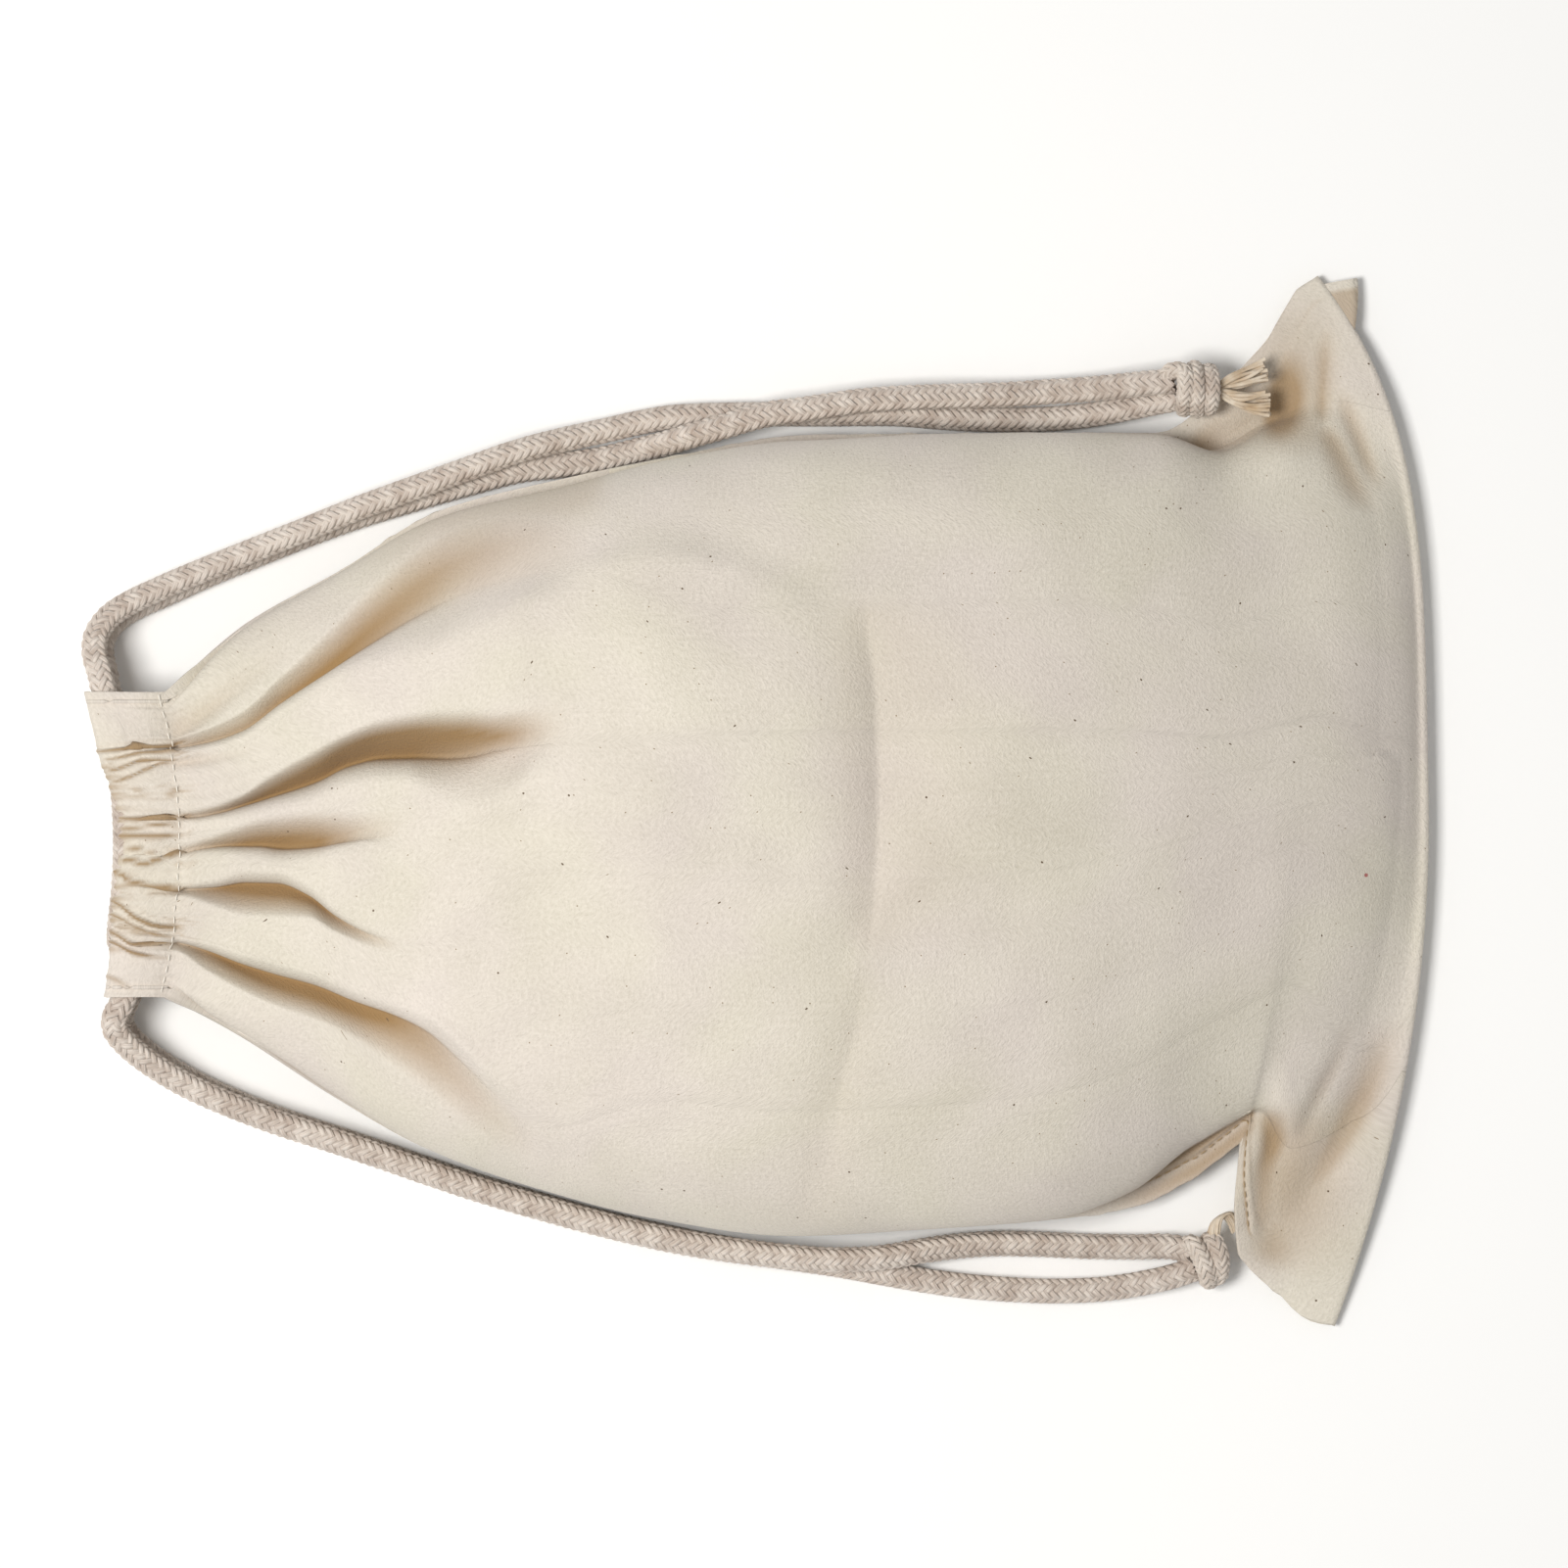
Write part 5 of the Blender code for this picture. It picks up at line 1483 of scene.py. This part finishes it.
# %% Turn a grid into a sheet of cloth
def cloth_sheet(name, grid, depth, keep, thickness, finish):
    """A grid of points as a thin closed sheet, with its UV map in metres of cloth and its painted shade."""
    rows, columns = grid.shape[:2]
    mesh = bpy.data.meshes.new(name)
    index = -np.ones((rows, columns), int)
    index[keep] = np.arange(keep.sum())
    quads = []
    for r in range(rows - 1):
        four = np.stack([index[r, :-1], index[r, 1:], index[r + 1, 1:], index[r + 1, :-1]], axis=1)
        quads.append(four[(four >= 0).all(axis=1)])
    quads = np.concatenate(quads)
    mesh.from_pydata((grid[keep] * MM).tolist(), [], quads.tolist())
    middle = columns // 2
    across = np.linalg.norm(np.diff(grid, axis=1), axis=2)
    u = np.concatenate([np.zeros((rows, 1)), np.cumsum(across, axis=1)], axis=1)
    u -= u[:, middle : middle + 1]
    along = np.linalg.norm(np.diff(grid, axis=0), axis=2)
    v = np.concatenate([np.zeros((1, columns)), np.cumsum(along, axis=0)], axis=0)
    corner = np.empty(len(mesh.loops), int)
    mesh.loops.foreach_get("vertex_index", corner)
    cut = mesh.uv_layers.new(name="cut")
    cut.data.foreach_set("uv", (np.column_stack([u[keep], v[keep]])[corner] * MM).ravel())
    # The painted shade of each point, which darkens the canvas.
    shade = mesh.attributes.new("painted shade", "FLOAT", "POINT")
    shade.data.foreach_set("value", depth[keep].astype(np.float32))
    mesh.materials.append(finish)
    mesh.shade_smooth()
    made = link_object(name, mesh)
    wall = made.modifiers.new("canvas thickness", "SOLIDIFY")
    wall.thickness = thickness * MM
    wall.offset = 1.0
    print(name, grid.shape, "area", round(float(flat_area(grid)), 4), "m2")
    return made


def flat_area(grid):
    first = np.cross(grid[1:, :-1] - grid[:-1, :-1], grid[:-1, 1:] - grid[:-1, :-1])
    return np.linalg.norm(first, axis=2).sum() * MM * MM


def narrow_hem(grid, hem_rows):
    """Which points of a panel are cloth: its first rows are the hem, which is narrower."""
    keep = np.ones(grid.shape[:2], bool)
    y = grid[:hem_rows, :, 1]
    keep[:hem_rows] = (y > HEM_LOW_Y) & (y < HEM_HIGH_Y)
    return keep


CLOTH = 0.8  # how thick the canvas is
front_keep = narrow_hem(front_grid, int((casing_at > HEM_FROM).sum()))
front = cloth_sheet("front_panel_cloth", front_grid, front_painted_shade, front_keep, CLOTH, canvas)

# %% [markdown]
# ## The back panel
#
# The back lies flat where the filling presses it down, and rises to the seams all round. It is
# made the same way on a coarser grid, with its own casing under the front's.


# %% The back panel's grid
back_columns = shares(56, 22, 4, 8)
back_steps = (12, 10, 10, 9, 8, 8, 7, 6, 6, 6, 5, 5, 5, 5, 5)
back_places = places(back_steps)
back_body = lay_back(back_places, back_columns)
BACK_GATHER = 10.5  # how high the gathers stand at the casing
BACK_LOBES = 7.5  # from the middle to a side
BACK_REACH = 135  # how far from the casing they die away


def gather_back(grid):
    """Raises the gathers of the back panel, which fan out from the casing and die away."""
    share = np.arange(grid.shape[1]) - grid.shape[1] // 2
    even = np.sin(share / share.max() * math.pi / 2)
    along = unit((grid[..., 0] - STITCH_X) / BACK_REACH)
    wave = np.cos(math.tau * (BACK_LOBES * even[None, :] + 0.35 * np.sin(5 * even)[None, :] + 0.6 * along))
    inner = unit((1 - np.abs(even)) / 0.08)[None, :]
    raised = grid.copy()
    raised[..., 2] += BACK_GATHER * (1 - along) ** 1.3 * (0.5 + 0.5 * wave) * inner
    return raised


back_body = gather_back(back_body)


def press_with_front(grid, found, shift):
    """Moves the back's seam allowances and ears with the front's, which lie on them."""
    moved = grid.copy()
    at = np.interp(found, front_places, np.arange(len(front_places)))
    middle = body.shape[1] // 2
    for r, place in enumerate(at):
        near = min(int(place), len(front_places) - 2)
        line = cross_line(front_places[near])
        for side, half in ((-1, slice(0, middle)), (1, slice(middle, None))):
            end = side_of(line, side)
            root = end["y"] - side * end["ear"]
            there = []
            for k in (near, near + 1):
                order = np.argsort(body[k, half, 1])
                y, pressed = body[k, half, 1][order], shift[k, half][order]
                held = (y - root) * side > -0.3 * end["ear"] - 1
                there.append(np.interp(grid[r, :, 1], y[held], pressed[held]))
            on_side = (grid[r, :, 1] - line["crest_y"]) * side > 0
            carried = there[0] + (there[1] - there[0]) * (place - near)
            moved[r, on_side, 2] -= carried[on_side]
    raised = unit((grid[..., 2] - 2.5) / 3) * unit((grid[..., 0] - 60) / 30)
    moved[..., 2] = grid[..., 2] + (moved[..., 2] - grid[..., 2]) * raised
    moved[..., 2] = np.maximum(moved[..., 2], RESTING_LAYER)
    return moved


back_body = press_with_front(back_body, back_places, body[..., 2] - folded[..., 2])
CASING_TOP = 30.5  # the back's casing is the front's, upside down from this height
back_casing = []
for distance, height in FRONT_CASING[1:]:
    row = back_body[0].copy()
    row[:, 0] += distance * monotone(*zip(*CASING_SPAN), row[:, 1]) / CASING_WIDTH
    row[:, 2] = RESTING_LAYER + CASING_TOP - height
    back_casing.append(row)
back_casing = np.asarray(back_casing)
ripple = swells(back_casing[..., 0] * 0.3, back_casing[..., 1] * 1.6, scale=3.5, seed=9.5)
back_casing[:8] += normals_of(back_casing)[:8] * (0.3 * ripple[:8])[..., None]
back_casing[..., 2] = np.maximum(back_casing[..., 2], RESTING_LAYER)
back_grid = np.concatenate([back_casing[::-1], back_body])
# Painted shade on the back's corner where it shows beyond the front's tip, lower down in the front's shadow.
from_edge = np.linalg.norm(back_grid - back_grid[:, -1:], axis=2)
back_shade = 0.5 * unit((back_grid[..., 1] - 140) / 6) * unit((from_edge - 2.4) / 1.2)
back = cloth_sheet("back_panel_cloth", back_grid, back_shade, narrow_hem(back_grid, 6), CLOTH, canvas)
back.modifiers[0].offset = -1.0

# %% [markdown]
# ## Stitches
#
# A machine stitch is a short run of thread on the surface that dips in at both ends. They follow a
# line, so Geometry Nodes place one small bead of thread at each step of a line and turn it along it.


# %% The stitches as a node tree
def stitch_tree():
    tree, given = start_group("stitches", ("Stitch length", "Gap", "Thread"), ("Finish",))
    dots = stepped(tree, given["Geometry"], calc(tree, "ADD", given["Stitch length"], given["Gap"]))
    bead = add(tree, "GeometryNodeMeshIcoSphere", {"Radius": 0.5, "Subdivisions": 2})[0]
    sized = add(tree, "ShaderNodeCombineXYZ",
                {0: given["Thread"], 1: given["Thread"], 2: given["Stitch length"]})[0]
    bead = add(tree, "GeometryNodeTransform", {"Geometry": bead, "Scale": sized})[0]
    tangent = add(tree, "GeometryNodeInputTangent")[0]
    turn = add(tree, "FunctionNodeAlignRotationToVector", {"Vector": tangent}, axis="Z")[0]
    placed = add(tree, "GeometryNodeInstanceOnPoints",
                 {"Points": dots, "Instance": bead, "Rotation": turn})[0]
    real = add(tree, "GeometryNodeRealizeInstances", {"Geometry": placed})[0]
    smooth = add(tree, "GeometryNodeSetShadeSmooth", {"Geometry": real})[0]
    done = add(tree, "GeometryNodeSetMaterial", {"Geometry": smooth, "Material": given["Finish"]})[0]
    add(tree, "NodeGroupOutput", {"Geometry": done})
    return tree


def spun_thread(name, colour):
    made, tree, shader = start_material(name)
    ply = noise_at(tree, add(tree, "ShaderNodeTexCoord")["Object"], 3000.0)
    set_inputs(tree, shader, {
        "Normal": bumped(tree, ply, 0.3, 0.0001), "Base Color": linear(colour), "Roughness": 0.7,
    })
    return made


STITCH_SPACING = 0.8
stitch = stitch_tree()
white_thread = spun_thread("white spun polyester thread", "F3EEE4")
# Painted shade: the seam's thread is coloured as it looks in the seam's shadow.
tan_thread = spun_thread("seam thread in the shade of the seam", "A88F6C")


def sew(name, points, finish, length, gap, thread):
    """A row of stitches along a line."""
    values = {"Stitch length": length * MM, "Gap": gap * MM, "Thread": thread * MM, "Finish": finish}
    return baked(name, line_object(name, smooth_route(points, STITCH_SPACING)), stitch, values)


# %% The casing's stitch line
last_casing_row = len(casing) - 1
front_normals = normals_of(front_grid)


def on_cloth(row, column, rise):
    """A point a little above the front panel's outer face."""
    up = front_normals[row, column]
    up = up if up[2] > 0 else -up
    return front_grid[row, column] + up * (CLOTH + rise)


columns = range(8, front_grid.shape[1] - 8, 2)
casing_line = [on_cloth(last_casing_row, column, -0.08) for column in columns]
sewn_lines = [sew("casing_stitches", casing_line, white_thread, length=2.3, gap=1.2, thread=0.34)]

# %% The seam line down the inner edge of the -Y ear
SEAM_FROM = 9.0  # the cross-line where the seam's stitches begin to show
SEAM_RISE = CLOTH + 0.02
seam_points = []
for row, place in enumerate(front_places):
    if SEAM_FROM < place < len(front_steps) and sewn[row, 0, 1] > SEAM_END_Y:
        strip = sewn[row, :STRIP_COLUMNS]
        inward = np.linalg.norm(strip - strip[0], axis=1)
        seam_points.append([float(np.interp(SEAM_INSET, inward, strip[:, k])) for k in range(3)])
seam_line = np.asarray(seam_points) + (0, 0, SEAM_RISE)
sewn_lines.append(sew("ear_seam_stitches", seam_line, tan_thread, length=2.2, gap=0.9, thread=0.4))

# %% [markdown]
# ## Floor and light
#
# A plain white tabletop, and a large soft lamp on the mouth's side. The lamp stands low enough to
# rake across the gathers. A bright even surround fills the shadows, as white walls would.


# %% Floor, lamp and surround
TABLE_HALF = 6
TABLE_Z = -0.0004
LAMP_PLACE = (-0.68, -0.1, 1.75)
LAMP_AIM = (0, 0, 0.03)
SURROUND = 0.39


def floor():
    mesh = bpy.data.meshes.new("tabletop")
    corners = [(x * TABLE_HALF, y * TABLE_HALF, TABLE_Z) for x, y in ((-1, -1), (1, -1), (1, 1), (-1, 1))]
    mesh.from_pydata(corners, [], [(0, 1, 2, 3)])
    made, tree, shader = start_material("matte white tabletop")
    set_inputs(tree, shader, {
        "Base Color": linear("FBFBFA"), "Roughness": 0.95, "Specular IOR Level": 0.1,
    })
    mesh.materials.append(made)
    return link_object("tabletop", mesh)


def lamp(name, place, size, power, colour):
    data = bpy.data.lights.new(name, "AREA")
    data.shape = "SQUARE"
    data.size = size
    data.energy = power
    data.color = linear(colour)[:3]
    made = link_object(name, data)
    made.location = place
    made.rotation_euler = (Vector(LAMP_AIM) - Vector(place)).to_track_quat("-Z", "Y").to_euler()
    return made


tabletop = floor()
lamp("large soft lamp", LAMP_PLACE, size=0.6, power=27.6, colour="FFFDFA")
world = bpy.data.worlds.new("bright surround")
world.use_nodes = True
set_inputs(world.node_tree, world.node_tree.nodes["Background"], {0: linear("FFFFFF"), 1: SURROUND})
bpy.context.scene.world = world
bpy.context.scene.view_settings.view_transform = "Standard"

# %% [markdown]
# ## Tell the frame what each piece is
#
# Every piece rides on the one body, takes its finish from the record's slots and, save the
# stitches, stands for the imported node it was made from. The free strands are declared as cords and
# the panels as cloth, with their real sizes, and the frame measures them against what was built.

# %% Pieces, cords and sheets
for name, piece in {**strands, **knots, **tails}.items():
    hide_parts(name)
    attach(piece, "root")
for letter, piece in held_cords.items():
    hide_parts(f"cord_{letter}_casing")
    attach(piece, "root")
for piece, node in ((front, "front_panel"), (back, "back_panel")):
    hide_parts(node)
    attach(piece, "root")
for piece in sewn_lines:
    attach(piece, "root")

for name, route in routes.items():
    letter = name[5]
